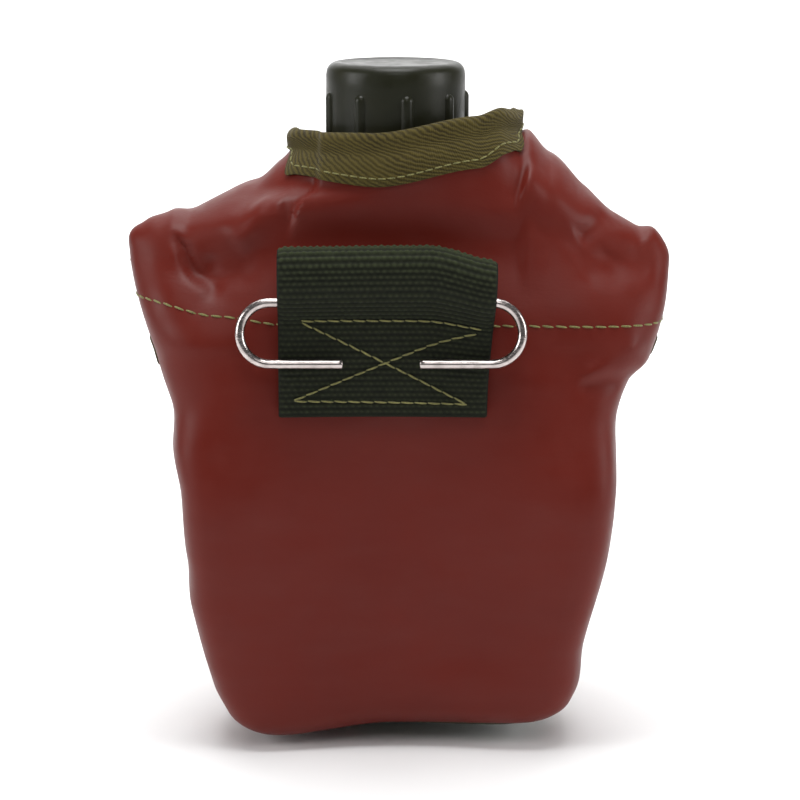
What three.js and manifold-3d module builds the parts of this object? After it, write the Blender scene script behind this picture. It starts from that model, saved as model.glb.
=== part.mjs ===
// A covered canteen with a belt hanger: a kidney-section bottle with a screw cap, in a stitched cover
// of leatherette lined with pile, with two snap-down shoulder flaps, and a wire hook in a webbing loop.
// Millimetres, +Z up. The origin is on the underside of the cover's base, below the neck's axis.
// -Y is the hollow side of the kidney, worn against the hip, with the hanger. +Y has the snaps.
import * as THREE from "three";
import { mergeVertices } from "three/addons/utils/BufferGeometryUtils.js";
import Module from "manifold-3d";

const wasm = await Module();
wasm.setup();

// ---------------------------------------------------------------- layers and clearances
const GAP = 0.3; // between pieces that touch
const SEAM_GAP = 0.4; // between the back and the front panel along the side seams
const LEATHER = 1.6;
const LINING = 1.8;
const EASE = 0.6; // between the bottle and the lining
const TAPE = 1.0; // thickness of the binding tape
const RUN_GAP = 0.5; // between pieces that turn or slide past each other
const WRAP = LEATHER + GAP + LINING + EASE; // from the bottle to the outside of the cover

// ---------------------------------------------------------------- bottle
const BOTTLE_HALF_WIDTH_BASE = 45;
const BOTTLE_HALF_WIDTH_TOP = 57.7;
const BOTTLE_HALF_DEPTH = 29;
const BOTTLE_CORNER = 5.7; // radius round the bottle's bottom edge
const BOTTLE_WALL = 2.0;
const BODY_TOP = 94; // height where the body is widest
const SHOULDER_RISE = 57; // from there to the foot of the neck
const NECK_RADIUS = 15.5;
const NECK_BORE_RADIUS = 13.2;
const NECK_LENGTH = 31.5;
const KIDNEY_SPAN = 60; // half-width at which the bend below is measured
const KIDNEY_BEND = 18; // how far the body bends towards -Y there

// ---------------------------------------------------------------- thread and cap
const THREAD_PITCH = 4;
const THREAD_TURNS = 1.25;
const THREAD_HEIGHT = 1.2;
const THREAD_ROOT = 1.5; // width of the ridge where it leaves the wall
const THREAD_CREST = 0.6;
const THREAD_SINK = 0.4; // how far a ridge reaches into its wall
const CAP_WALL = 2.0;
const CAP_TOP = 2.4;
const CAP_SKIRT = 24; // height of the whole cap
const CAP_EDGE = 3; // radius round the top edge
const CAP_RIBS = 9;
const CAP_RIB_RADIUS = 1.75;
const CAP_RIB_PROUD = 1.0;
const CAP_RIB_DROP = 8; // from the top of the cap to the top of a rib
const CAP_RIB_TURN = 9.5; // degrees from -Y to the first rib
const LINER = 1.3;
const RING_HEIGHT = 2.6;
const RING_WIDTH = 1.8;
const GROOVE_DEPTH = 1.1; // of the groove that the retainer's ring turns in
const GROOVE_RISE = 0.8; // from the cap's lower edge
const LIP_INSET = 0.3; // of the lip below the groove
const STRAP_REACH = 4.5; // how far the retainer's strap stands out from its upper ring
const STRAP_HALF_WIDTH = 3.2;
const STRAP_HALF_THICKNESS = 0.6;

// ---------------------------------------------------------------- cover
const EAR_OUT = 12.5; // how far the ears stand out beyond the body, on each side
const EAR_RISE = 45.5; // from the widest part of the body to the ears
const COLLAR_RISE = 20.5; // from the ears to the foot of the collar
const COLLAR_HEIGHT = 11;
const COLLAR_SIDE_ROOM = 12.8; // between the cap's ribs and the outside of the collar, at its sides
const COLLAR_ROOM = 5.8; // the same, in front of the cap and behind it
const FRONT_RISE = 18; // from the widest part of the body to the front panel's top edge
const BINDING_LEG = 5; // how far a binding reaches down from the edge it folds over
const COLLAR_LEG = 7.5;
const FLAP_DROP = 10; // from the widest part of the body down to the flap's tongue
const FLAP_LIFT = 5.8; // outside of the flap above the front panel, room for the snap
const TONGUE_ROUND = 18;

// ---------------------------------------------------------------- snaps
const SNAP_PSI = 1.02; // place round the section, in radians from +X
const SNAP_RISE = 6; // from the widest part of the body to the snaps
const SNAP_HOLE = 1.9;
const SNAP_SEAT = 0.8; // between a snap's flat parts and the curved panels

// ---------------------------------------------------------------- hanger
const HANGER_SHIFT = -2; // the hanger is sewn a little off the middle
const WEB_HALF_WIDTH = 28.7;
const WEB_THICKNESS = 2.1;
const WEB_RISE = 1.5; // from the widest part of the body up to the webbing's lower edge
const WEB_LENGTH = 44.5; // of the folded webbing
const WEB_SEWN = 26; // from its lower edge to the top row of stitches, which closes the loop
const WEB_CURVE = 1.2; // how far the webbing's side edges lie towards -Y of its middle
const WIRE = 2.6;
const HOOK_HALF_WIDTH = 38.9;
const HOOK_DROP = 16.2; // from the bar down to the prongs
const PRONG = 19;
const HOOK_SLIDE = -1.8; // the hook lies a little off the middle of the webbing
const BAR_CLEAR = 3.1; // from the top row of stitches to the wire
const LOOP_CLEAR = 1.5; // room in the webbing's loop beyond the wire and the webbing's curve

const BASE_Z = 0;
const BOTTLE_Z = BASE_Z + WRAP;
const COVER_CORNER = BOTTLE_CORNER + WRAP;
const EAR_Z = BODY_TOP + EAR_RISE;
const COLLAR_Z = EAR_Z + COLLAR_RISE;
const COLLAR_TOP = COLLAR_Z + COLLAR_HEIGHT;
const FRONT_TOP = BODY_TOP + FRONT_RISE;
const FLAP_BOTTOM = BODY_TOP - FLAP_DROP;
const SNAP_HEIGHT = BODY_TOP + SNAP_RISE;
const WEB_BOTTOM = BODY_TOP + WEB_RISE;
const WEB_TOP = WEB_BOTTOM + WEB_LENGTH;
const WEB_SEAM = WEB_BOTTOM + WEB_SEWN;
const NECK_Z = BODY_TOP + SHOULDER_RISE;
const NECK_TOP = NECK_Z + NECK_LENGTH;
const CAP_BORE = NECK_RADIUS + THREAD_HEIGHT + RUN_GAP;
const CAP_RADIUS = CAP_BORE + CAP_WALL;
const COLLAR_HALF_WIDTH = CAP_RADIUS + CAP_RIB_PROUD + COLLAR_SIDE_ROOM;
const COLLAR_HALF_DEPTH = CAP_RADIUS + CAP_RIB_PROUD + COLLAR_ROOM;
const CAP_TOP_Z = NECK_TOP + GAP + LINER + GAP + CAP_TOP;
const CAP_Z = CAP_TOP_Z - CAP_SKIRT;

// Every layer of the cover is cut on the same grid, so that the layers stay parallel.
const ACROSS = 16; // steps round half the section

const finish = (hex, roughness, metalness = 0) =>
  new THREE.MeshStandardMaterial({ color: hex, roughness, metalness });
const MATERIALS = {
  leather: finish(0x5d2620, 0.55),
  tape: finish(0x554c26, 0.9),
  webbing: finish(0x23261e, 0.9),
  pile: finish(0x6d6a4f, 1.0),
  capPlastic: finish(0x33342a, 0.4),
  bottlePlastic: finish(0x3a3d2c, 0.5),
  rubber: finish(0x1d1d1b, 0.8),
  steel: finish(0xb4aaa8, 0.25, 1.0),
  brass: finish(0x5b5a4a, 0.4, 1.0),
};

// ---------------------------------------------------------------- solids from meshes
function signedVolume(position, index) {
  const [a, b, c] = [0, 1, 2].map(() => new THREE.Vector3());
  let sum = 0;
  for (let i = 0; i < index.length; i += 3) {
    a.fromBufferAttribute(position, index[i]);
    b.fromBufferAttribute(position, index[i + 1]);
    c.fromBufferAttribute(position, index[i + 2]);
    sum += a.dot(b.cross(c));
  }
  return sum / 6;
}

// A closed geometry with shared corners and its faces pointing out.
function closed(geometry) {
  geometry.deleteAttribute("normal");
  geometry.deleteAttribute("uv");
  const merged = mergeVertices(geometry, 1e-4);
  const index = Array.from(merged.index.array);
  if (signedVolume(merged.attributes.position, index) < 0) index.reverse();
  merged.setIndex(index);
  return merged;
}

function toSolid(geometry) {
  const g = closed(geometry);
  const vertProperties = new Float32Array(g.attributes.position.array);
  const triVerts = new Uint32Array(g.index.array);
  return new wasm.Manifold(new wasm.Mesh({ numProp: 3, vertProperties, triVerts }));
}

function toGeometry(solid) {
  const made = solid.getMesh();
  const geometry = new THREE.BufferGeometry();
  geometry.setAttribute("position", new THREE.BufferAttribute(made.vertProperties, 3));
  geometry.setIndex(new THREE.BufferAttribute(made.triVerts, 1));
  return geometry;
}

const joined = (geometries) =>
  toGeometry(geometries.map(toSolid).reduce((sum, solid) => sum.add(solid)));
const cut = (geometry, cutters) =>
  toGeometry(cutters.map(toSolid).reduce((left, cutter) => left.subtract(cutter), toSolid(geometry)));

function fromGrid(vertices, faces) {
  const geometry = new THREE.BufferGeometry().setFromPoints(vertices);
  geometry.setIndex(faces.flat());
  return closed(geometry);
}

const quad = (a, b, c, d) => [a, b, c, a, c, d];

// A solid through rings of equally many points, with both ends closed.
function loft(rings) {
  const count = rings[0].length;
  const faces = [];
  for (let j = 0; j + 1 < rings.length; j++)
    for (let i = 0; i < count; i++) {
      const next = (i + 1) % count;
      faces.push(quad(j * count + i, j * count + next, (j + 1) * count + next, (j + 1) * count + i));
    }
  const vertices = rings.flat();
  for (const end of [0, rings.length - 1]) {
    const middle = rings[end].reduce((sum, p) => sum.add(p), new THREE.Vector3()).divideScalar(count);
    const hub = vertices.push(middle) - 1;
    for (let i = 0; i < count; i++) {
      const corners = [hub, end * count + ((i + 1) % count), end * count + i];
      faces.push(end ? corners.reverse() : corners);
    }
  }
  return fromGrid(vertices, faces);
}

// A solid through open rows of a section polygon, whose two end faces may be hollow outlines.
function sweep(sections) {
  const count = sections[0].length;
  const faces = [];
  for (let j = 0; j + 1 < sections.length; j++)
    for (let i = 0; i < count; i++) {
      const next = (i + 1) % count;
      faces.push(quad(j * count + i, j * count + next, (j + 1) * count + next, (j + 1) * count + i));
    }
  const flat = sectionOutline(sections[0]);
  const lid = THREE.ShapeUtils.triangulateShape(flat, []);
  const wound = THREE.ShapeUtils.isClockWise(flat) ? lid.map((t) => [...t].reverse()) : lid;
  const last = (sections.length - 1) * count;
  wound.forEach((t) => faces.push([...t].reverse()));
  wound.forEach((t) => faces.push(t.map((k) => k + last)));
  return fromGrid(sections.flat(), faces);
}

// The same section as a flat outline, in the plane of its own first, middle and last points.
function sectionOutline(points) {
  const normal = new THREE.Vector3();
  points.forEach((p, i) => normal.add(p.clone().cross(points[(i + 1) % points.length])));
  normal.normalize();
  const across = new THREE.Vector3().subVectors(points[1], points[0]).normalize();
  const up = new THREE.Vector3().crossVectors(normal, across);
  return points.map((p) => new THREE.Vector2(p.dot(across), p.dot(up)));
}

// A curved sheet of even thickness: at(u, v) gives its outer and its inner point, at each row's v.
function sheet(at, across, rows) {
  const along = rows.length - 1;
  const layers = [[], []];
  for (let j = 0; j <= along; j++)
    for (let i = 0; i <= across; i++) {
      const pair = at(i / across, rows[j]);
      layers.forEach((layer, k) => layer.push(pair[k]));
    }
  const inner = layers[0].length;
  const row = across + 1;
  const faces = [];
  for (let j = 0; j < along; j++)
    for (let i = 0; i < across; i++) {
      const k = j * row + i;
      faces.push(quad(k, k + 1, k + row + 1, k + row));
      faces.push(quad(inner + k, inner + k + row, inner + k + row + 1, inner + k + 1));
    }
  const edge = (a, b) => faces.push(quad(b, a, inner + a, inner + b));
  for (let i = 0; i < across; i++) {
    edge(i, i + 1);
    edge(along * row + i + 1, along * row + i);
  }
  for (let j = 0; j < along; j++) {
    edge((j + 1) * row, j * row);
    edge(j * row + across, (j + 1) * row + across);
  }
  return fromGrid(layers.flat(), faces);
}

// ---------------------------------------------------------------- the kidney forms
const smooth = (t) => t * t * (3 - 2 * t);

// A value that eases from one [height, value] step to the next.
function ease(z, steps) {
  if (z <= steps[0][0]) return steps[0][1];
  for (let i = 1; i < steps.length; i++) {
    const [z0, a] = steps[i - 1];
    const [z1, b] = steps[i];
    if (z < z1) return a + (b - a) * smooth((z - z0) / (z1 - z0));
  }
  return steps[steps.length - 1][1];
}

// How far the section bends towards -Y at height z. It keeps the crest from ear to collar straight.
const BEND_STEPS = [
  [0.7 * BODY_TOP, KIDNEY_BEND],
  [FRONT_TOP, KIDNEY_BEND / 2],
  [EAR_Z, KIDNEY_BEND / 3],
  [EAR_Z + 0.4 * COLLAR_RISE, KIDNEY_BEND / 3],
  [COLLAR_Z, 0],
];
const bend = (z) => ease(z, BEND_STEPS);
const frontFullness = (z) => ease(z, [[BODY_TOP, 2.5], [EAR_Z, 1.7], [NECK_Z, 2]]);
const backFullness = (z) => ease(z, [[BODY_TOP, 4], [FRONT_TOP, 3], [EAR_Z, 1.8], [NECK_Z, 2]]);

// A form is a stack of kidney sections: stations hold [height, half-width, half-depth].
class Form {
  constructor(stations) {
    const points = stations.map(([z, a, b]) => new THREE.Vector3(a, b, z));
    this.curve = new THREE.CatmullRomCurve3(points, false, "centripetal");
  }

  along(z) {
    let [low, high] = [0, 1];
    for (let i = 0; i < 40; i++) {
      const middle = (low + high) / 2;
      if (this.curve.getPoint(middle).z < z) low = middle;
      else high = middle;
    }
    return (low + high) / 2;
  }

  // The point at angle psi round the section and place v up the form.
  point(psi, v) {
    const { x: a, y: b, z } = this.curve.getPoint(THREE.MathUtils.clamp(v, 0, 1));
    const [c, s] = [Math.cos(psi), Math.sin(psi)];
    const n = s >= 0 ? frontFullness(z) : backFullness(z);
    const r = (Math.abs(c) ** n + Math.abs(s) ** n) ** (-1 / n);
    const x = a * r * c;
    return new THREE.Vector3(x, b * r * s - bend(z) * (x / KIDNEY_SPAN) ** 2, z);
  }

  tangents(psi, v) {
    const d = 1e-3;
    const [v0, v1] = [Math.max(v - d, 0), Math.min(v + d, 1)];
    const round = this.point(psi + d, v).sub(this.point(psi - d, v)).divideScalar(2 * d);
    const up = this.point(psi, v1).sub(this.point(psi, v0)).divideScalar(v1 - v0);
    return [round, up];
  }

  normal(psi, v) {
    const [round, up] = this.tangents(psi, v);
    return round.cross(up).normalize();
  }

  off(psi, v, distance) {
    return this.point(psi, v).addScaledVector(this.normal(psi, v), distance);
  }
}

// The rounded bottom edge shared by the bottle and the cover, then the taper up to the widest part.
function bodyStations(floor, corner, out) {
  const halfBase = BOTTLE_HALF_WIDTH_BASE + out;
  const halfTop = BOTTLE_HALF_WIDTH_TOP + out;
  const halfDepth = BOTTLE_HALF_DEPTH + out;
  const arc = [0, 30, 60, 90].map((degrees) => {
    const t = THREE.MathUtils.degToRad(degrees);
    const inset = corner * (1 - Math.sin(t));
    return [floor + corner * (1 - Math.cos(t)), halfBase - inset, halfDepth - inset];
  });
  const start = floor + corner;
  const taper = [0.25, 0.5, 0.75, 1].map((t) => [
    start + (BODY_TOP - start) * t,
    halfBase + (halfTop - halfBase) * Math.sin((t * Math.PI) / 2),
    halfDepth,
  ]);
  return [...arc, ...taper];
}

const bottleShoulder = (t, width, depth) => [
  BODY_TOP + SHOULDER_RISE * t,
  NECK_RADIUS + (BOTTLE_HALF_WIDTH_TOP - NECK_RADIUS) * width,
  NECK_RADIUS + (BOTTLE_HALF_DEPTH - NECK_RADIUS) * depth,
];
const bottleForm = new Form([
  ...bodyStations(BOTTLE_Z, BOTTLE_CORNER, 0),
  bottleShoulder(0.3, 1, 0.98),
  bottleShoulder(0.5, 0.94, 0.82),
  bottleShoulder(0.67, 0.78, 0.42),
  bottleShoulder(0.8, 0.54, 0.12),
  bottleShoulder(0.92, 0.2, 0.02),
  bottleShoulder(1, 0, 0),
  [NECK_TOP, NECK_RADIUS, NECK_RADIUS],
]);

const coverHalfWidth = BOTTLE_HALF_WIDTH_TOP + WRAP;
const coverHalfDepth = BOTTLE_HALF_DEPTH + WRAP;
const coverForm = new Form([
  ...bodyStations(BASE_Z, COVER_CORNER, WRAP),
  [BODY_TOP + EAR_RISE * 0.3, coverHalfWidth + EAR_OUT * 0.48, coverHalfDepth],
  [BODY_TOP + EAR_RISE * 0.62, coverHalfWidth + EAR_OUT * 0.84, coverHalfDepth - 2.3],
  [BODY_TOP + EAR_RISE * 0.88, coverHalfWidth + EAR_OUT, coverHalfDepth - 5.8],
  [EAR_Z, coverHalfWidth + EAR_OUT * 0.96, coverHalfDepth - 6.8],
  [EAR_Z + COLLAR_RISE * 0.5, (coverHalfWidth + EAR_OUT + COLLAR_HALF_WIDTH) / 2, COLLAR_HALF_DEPTH + 1],
  [COLLAR_Z, COLLAR_HALF_WIDTH + 2, COLLAR_HALF_DEPTH + 1],
  [COLLAR_Z + COLLAR_HEIGHT * 0.3, COLLAR_HALF_WIDTH, COLLAR_HALF_DEPTH],
  [COLLAR_TOP, COLLAR_HALF_WIDTH, COLLAR_HALF_DEPTH],
]);

// Places up the cover's form: each station, with one more between two above the bottom edge.
const STATIONS = coverForm.curve.points.length - 1;
const CORNER_STATIONS = 3;
const BODY_STATIONS = 8; // the bottom edge and the taper
const ROWS = [];
for (let k = 0; k <= STATIONS; k++) {
  ROWS.push(k / STATIONS);
  if (k >= CORNER_STATIONS && k < STATIONS) ROWS.push((k + 0.5) / STATIONS);
}
const rowsBetween = (v0, v1) => [v0, ...ROWS.filter((v) => v > v0 + 0.004 && v < v1 - 0.004), v1];

// ---------------------------------------------------------------- bottle, cap and retainer
// A screw ridge standing proud of a wall, outwards (side 1) or inwards (side -1).
function threadRidge(wall, foot, side) {
  const steps = Math.ceil(THREAD_TURNS * 20);
  const profile = [[-THREAD_SINK, -THREAD_ROOT / 2], [THREAD_HEIGHT, -THREAD_CREST / 2],
    [THREAD_HEIGHT, THREAD_CREST / 2], [-THREAD_SINK, THREAD_ROOT / 2]];
  const sections = [];
  for (let i = 0; i <= steps; i++) {
    const turn = (i / steps) * THREAD_TURNS;
    const fade = Math.min(1, 8 * Math.min(i, steps - i) / steps + 0.05);
    const angle = turn * 2 * Math.PI;
    sections.push(profile.map(([out, dz]) => {
      const r = wall + side * (out > 0 ? out * fade : out);
      return new THREE.Vector3(r * Math.cos(angle), r * Math.sin(angle), foot + turn * THREAD_PITCH + dz);
    }));
  }
  return sweep(sections);
}

function bottle() {
  const around = 2 * ACROSS;
  const ring = ([form, v, inset], wall) =>
    Array.from({ length: around }, (_, i) => form.off((i / around) * 2 * Math.PI, v, -inset - wall));
  const circle = (r, z) =>
    Array.from({ length: around }, (_, i) => {
      const angle = (i / around) * 2 * Math.PI;
      return new THREE.Vector3(r * Math.cos(angle), r * Math.sin(angle), z);
    });
  const bodyRows = Array.from({ length: BODY_STATIONS }, (_, k) => k / STATIONS);
  const belowShoulder = bodyRows.map((v) => [coverForm, v, WRAP]);
  const [first, last] = [bottleForm.along(BODY_TOP), bottleForm.along(NECK_Z - 2)];
  const steps = 7;
  const shoulder = Array.from({ length: steps }, (_, i) =>
    [bottleForm, first + (last - first) * ((i + 1) / steps), 0]);
  const rows = [...belowShoulder, ...shoulder];
  const inside = rows.slice(0, -1).reverse();
  const body = loft([
    ...rows.map((row) => ring(row, 0)),
    circle(NECK_RADIUS, NECK_Z + 1),
    circle(NECK_RADIUS, NECK_TOP),
    circle(NECK_BORE_RADIUS, NECK_TOP),
    circle(NECK_BORE_RADIUS, NECK_Z),
    ...inside.map((row) => ring(row, BOTTLE_WALL)),
  ]);
  return joined([body, threadRidge(NECK_RADIUS, NECK_TOP - 2 - THREAD_TURNS * THREAD_PITCH - 2, 1)]);
}

const lathe = (outline, segments = 32) => {
  const points = [...outline, outline[0]].map(([r, z]) => new THREE.Vector2(r, z));
  const geometry = new THREE.LatheGeometry(points, segments);
  return closed(geometry.rotateX(Math.PI / 2));
};

const GROOVE_RADIUS = CAP_RADIUS - GROOVE_DEPTH;
const GROOVE_Z = CAP_Z + GROOVE_RISE;
const GROOVE_TOP = GROOVE_Z + RING_HEIGHT + 2 * RUN_GAP;
const RING_BORE = GROOVE_RADIUS + RUN_GAP;

function capRib(index) {
  const top = CAP_TOP_Z - CAP_RIB_DROP;
  const outline = [[0, GROOVE_TOP], [CAP_RIB_RADIUS, GROOVE_TOP]];
  for (const degrees of [0, 45]) {
    const t = THREE.MathUtils.degToRad(degrees);
    outline.push([CAP_RIB_RADIUS * Math.cos(t), top - CAP_RIB_RADIUS * (1 - Math.sin(t))]);
  }
  outline.push([0, top]);
  const angle = THREE.MathUtils.degToRad(CAP_RIB_TURN - 90 + (index * 360) / CAP_RIBS);
  const centre = CAP_RADIUS + CAP_RIB_PROUD - CAP_RIB_RADIUS;
  return lathe(outline, 8).translate(centre * Math.cos(angle), centre * Math.sin(angle), 0);
}

function cap() {
  const edge = [0, 30, 60, 90].map((degrees) => {
    const t = THREE.MathUtils.degToRad(degrees);
    return [CAP_RADIUS - CAP_EDGE * (1 - Math.cos(t)), CAP_TOP_Z - CAP_EDGE * (1 - Math.sin(t))];
  });
  const shell = lathe([
    [0, CAP_TOP_Z - CAP_TOP],
    [CAP_BORE, CAP_TOP_Z - CAP_TOP],
    [CAP_BORE, CAP_Z],
    [CAP_RADIUS - LIP_INSET, CAP_Z],
    [CAP_RADIUS - LIP_INSET, GROOVE_Z],
    [GROOVE_RADIUS, GROOVE_Z],
    [GROOVE_RADIUS, GROOVE_TOP],
    [CAP_RADIUS, GROOVE_TOP],
    ...edge,
    [0, CAP_TOP_Z],
  ], 36);
  const ribs = Array.from({ length: CAP_RIBS }, (_, i) => capRib(i));
  const foot = NECK_TOP - 4 - THREAD_TURNS * THREAD_PITCH - THREAD_PITCH / 2;
  return joined([shell, ...ribs, threadRidge(CAP_BORE, foot, -1)]);
}

const washer = (bore, outer, z0, z1) => lathe([[bore, z0], [outer, z0], [outer, z1], [bore, z1]], 24);

const capLiner = () => {
  const z = NECK_TOP + GAP;
  return lathe([[0, z], [CAP_BORE - RUN_GAP, z], [CAP_BORE - RUN_GAP, z + LINER], [0, z + LINER]], 24);
};

const NECK_RING_Z = NECK_Z + 3;
const neckRing = () =>
  washer(NECK_RADIUS + GAP, NECK_RADIUS + GAP + RING_WIDTH, NECK_RING_Z, NECK_RING_Z + RING_HEIGHT);
const capRing = () =>
  washer(RING_BORE, RING_BORE + RING_WIDTH, GROOVE_Z + RUN_GAP, GROOVE_Z + RUN_GAP + RING_HEIGHT);

// The strap between the rings, on the snap side: out from the neck's ring, up and back to the cap's.
function retainerStrap() {
  const low = [NECK_RADIUS + 2 * GAP + RING_WIDTH, NECK_RING_Z + RING_HEIGHT / 2];
  const high = [RING_BORE + RING_WIDTH + GAP, GROOVE_Z + RUN_GAP + RING_HEIGHT / 2];
  const out = high[0] + STRAP_REACH;
  const middle = new THREE.CatmullRomCurve3([
    new THREE.Vector3(0, low[0], low[1]),
    new THREE.Vector3(0, out - 1.5, low[1]),
    new THREE.Vector3(0, out, (low[1] + high[1]) / 2),
    new THREE.Vector3(0, out - 1, high[1]),
    new THREE.Vector3(0, high[0], high[1]),
  ]);
  const sections = middle.getSpacedPoints(12).map((p, i) => {
    const along = middle.getTangentAt(i / 12);
    const face = new THREE.Vector3(1, 0, 0).cross(along).normalize().multiplyScalar(STRAP_HALF_THICKNESS);
    const side = new THREE.Vector3(STRAP_HALF_WIDTH, 0, 0);
    return [[1, 1], [-1, 1], [-1, -1], [1, -1]].map(([s, f]) =>
      p.clone().addScaledVector(side, s).addScaledVector(face, f));
  });
  return sweep(sections);
}

// ---------------------------------------------------------------- cover and lining
// Half of the cover's form, back (-Y) or front (+Y), as a sheet that ends at the side seams.
function halfShell(isBack, topV, outer, thickness) {
  const shift = new THREE.Vector3(0, (isBack ? -1 : 1) * SEAM_GAP / 2, 0);
  const start = isBack ? -Math.PI : 0;
  return sheet((u, v) => {
    const psi = start + u * Math.PI;
    return [outer, outer - thickness].map((d) => coverForm.off(psi, v, d).add(shift));
  }, ACROSS, rowsBetween(0, topV));
}

const inner = LEATHER + GAP;
const coverBack = () => halfShell(true, 1, 0, LEATHER);
const liningTop = coverForm.along(FRONT_TOP - BINDING_LEG - 2 * GAP);
const lining = (isBack) => halfShell(isBack, liningTop, -inner, LINING);

// A flat panel inside the rounded bottom edge of the cover.
function basePanel(z0, z1, inset) {
  const around = 2 * ACROSS;
  const outline = (z) =>
    Array.from({ length: around }, (_, i) => {
      const p = coverForm.point((i / around) * 2 * Math.PI, 0);
      const reach = Math.hypot(p.x, p.y);
      return p.multiplyScalar((reach - inset) / reach).setZ(z);
    });
  return loft([outline(z0), outline(z1)]);
}

const snapV = coverForm.along(SNAP_HEIGHT);
const snapFrame = (side) => {
  const psi = side > 0 ? SNAP_PSI : Math.PI - SNAP_PSI;
  const axis = coverForm.normal(psi, snapV);
  const turn = new THREE.Quaternion().setFromUnitVectors(new THREE.Vector3(0, 0, 1), axis);
  return { place: coverForm.point(psi, snapV).setY(coverForm.point(psi, snapV).y + SEAM_GAP / 2), turn };
};

// A round cutter along a snap's axis, from w0 to w1 above the front panel's face.
function snapCutter(side, radius, w0, w1) {
  const { place, turn } = snapFrame(side);
  return lathe([[0, w0], [radius, w0], [radius, w1], [0, w1]], 16)
    .applyQuaternion(turn)
    .translate(place.x, place.y, place.z);
}

const coverFront = () =>
  cut(
    halfShell(false, coverForm.along(FRONT_TOP), 0, LEATHER),
    [1, -1].map((side) => snapCutter(side, SNAP_HOLE, -4, 4)),
  );
const liningFront = () => cut(lining(false), [1, -1].map((side) => snapCutter(side, 5.4, -8, 0)));

// ---------------------------------------------------------------- shoulder flaps
// Outer edge (psi0) and inner edge (psi1) of a flap at height z, on the +X side.
function flapEdges(z) {
  const psi0 = ease(z, [[FLAP_BOTTOM, 0.55], [FRONT_TOP + 8, 0.22], [EAR_Z - 3, 0.02], [EAR_Z, 0]]);
  const psi1 = ease(z, [[FLAP_BOTTOM, 1.3], [EAR_Z, 1.24], [COLLAR_Z, 1.12]]);
  const h = Math.min((z - FLAP_BOTTOM) / TONGUE_ROUND, 1);
  const wide = Math.sqrt(1 - (1 - Math.max(h, 0.05)) ** 2);
  const middle = (psi0 + psi1) / 2;
  return [middle + (psi0 - middle) * wide, middle + (psi1 - middle) * wide];
}

const flapLift = (z) => ease(z, [[FRONT_TOP, FLAP_LIFT], [EAR_Z, 0]]);
const FLAP_ROWS = (() => {
  const [first, last] = [coverForm.along(FLAP_BOTTOM), coverForm.along(COLLAR_Z - RUN_GAP)];
  const tongue = coverForm.along(FLAP_BOTTOM + TONGUE_ROUND);
  const round = [0, 0.12, 0.3, 0.6].map((t) => first + (tongue - first) * t);
  return [...round, ...rowsBetween(tongue, last)];
})();

// A point of the flap's sheet: u from the outer to the inner edge, v up the form.
function flapPoint(side, u, v, depth) {
  const z = coverForm.curve.getPoint(v).z;
  const [psi0, psi1] = flapEdges(z);
  const psi = psi0 + (psi1 - psi0) * u;
  const p = coverForm.off(side > 0 ? psi : Math.PI - psi, v, flapLift(z) - depth);
  return p.add(new THREE.Vector3(0, RUN_GAP, 0));
}

function flap(side) {
  const body = sheet((u, v) => [0, LEATHER].map((depth) => flapPoint(side, u, v, depth)), 8, FLAP_ROWS);
  return cut(body, [snapCutter(side, SNAP_HOLE, -2, 12)]);
}

// The channel of a binding that folds over an edge. at(out, depth) gives the point beyond (out > 0)
// or inside the edge, below the outer face by depth.
function channel(at, leg, gap = GAP) {
  const [face, back] = [-gap, LEATHER + gap];
  return [
    at(-leg, face - TAPE), at(-leg / 2, face - TAPE), at(GAP + TAPE, face - TAPE),
    at(GAP + TAPE, back + TAPE), at(-leg / 2, back + TAPE), at(-leg, back + TAPE),
    at(-leg, back), at(-leg / 2, back), at(GAP, back),
    at(GAP, face), at(-leg / 2, face), at(-leg, face),
  ];
}

// A binding along a top edge that runs round the form at one height.
function edgeBinding(isBack, z, leg) {
  const shift = new THREE.Vector3(0, (isBack ? -1 : 1) * SEAM_GAP / 2, 0);
  const start = isBack ? -Math.PI : 0;
  const sections = [];
  for (let i = 0; i <= ACROSS; i++) {
    const psi = start + (i / ACROSS) * Math.PI;
    sections.push(channel((out, depth) => {
      const v = coverForm.along(Math.min(z + out, z));
      const p = coverForm.off(psi, v, -depth).add(shift);
      p.z += Math.max(out, 0);
      return p;
    }, leg));
  }
  return sweep(sections);
}

// The binding round a flap's free edges: down the outer edge, round the tongue and up the inner edge.
function flapBinding(side) {
  const high = coverForm.along(EAR_Z - 7);
  const outerEdge = FLAP_ROWS.filter((v) => v < high).map((v) => [0, v]);
  const innerEdge = FLAP_ROWS.slice(0, -1).map((v) => [1, v]);
  const rim = [...outerEdge.reverse(), [0.5, FLAP_ROWS[0]], ...innerEdge];
  const at = ([u, v], depth) => flapPoint(side, u, v, depth);
  const sections = rim.map((here, i) => {
    const before = at(rim[Math.max(i - 1, 0)], 0);
    const after = at(rim[Math.min(i + 1, rim.length - 1)], 0);
    const along = after.sub(before).normalize();
    const through = at(here, LEATHER).sub(at(here, 0)).normalize();
    const outward = along.clone().cross(through).multiplyScalar(-side).normalize();
    const [u, v] = here;
    const d = 0.02;
    const du = at([u + (u < 0.5 ? d : -d), v], 0).sub(at(here, 0)).divideScalar(u < 0.5 ? d : -d);
    const dv = at([u, v + d], 0).sub(at(here, 0)).divideScalar(d);
    const inwardStep = (reach) => {
      const want = outward.clone().multiplyScalar(reach);
      const [a, b, c] = [du.dot(du), du.dot(dv), dv.dot(dv)];
      const [p, q] = [want.dot(du), want.dot(dv)];
      const det = a * c - b * b;
      return [(p * c - q * b) / det, (a * q - b * p) / det];
    };
    return channel((out, depth) => {
      if (out >= 0) return at(here, depth).addScaledVector(outward, out);
      const [su, sv] = inwardStep(out);
      return at([u + su, v + sv], depth);
    }, BINDING_LEG, 2 * GAP);
  });
  return sweep(sections);
}

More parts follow.
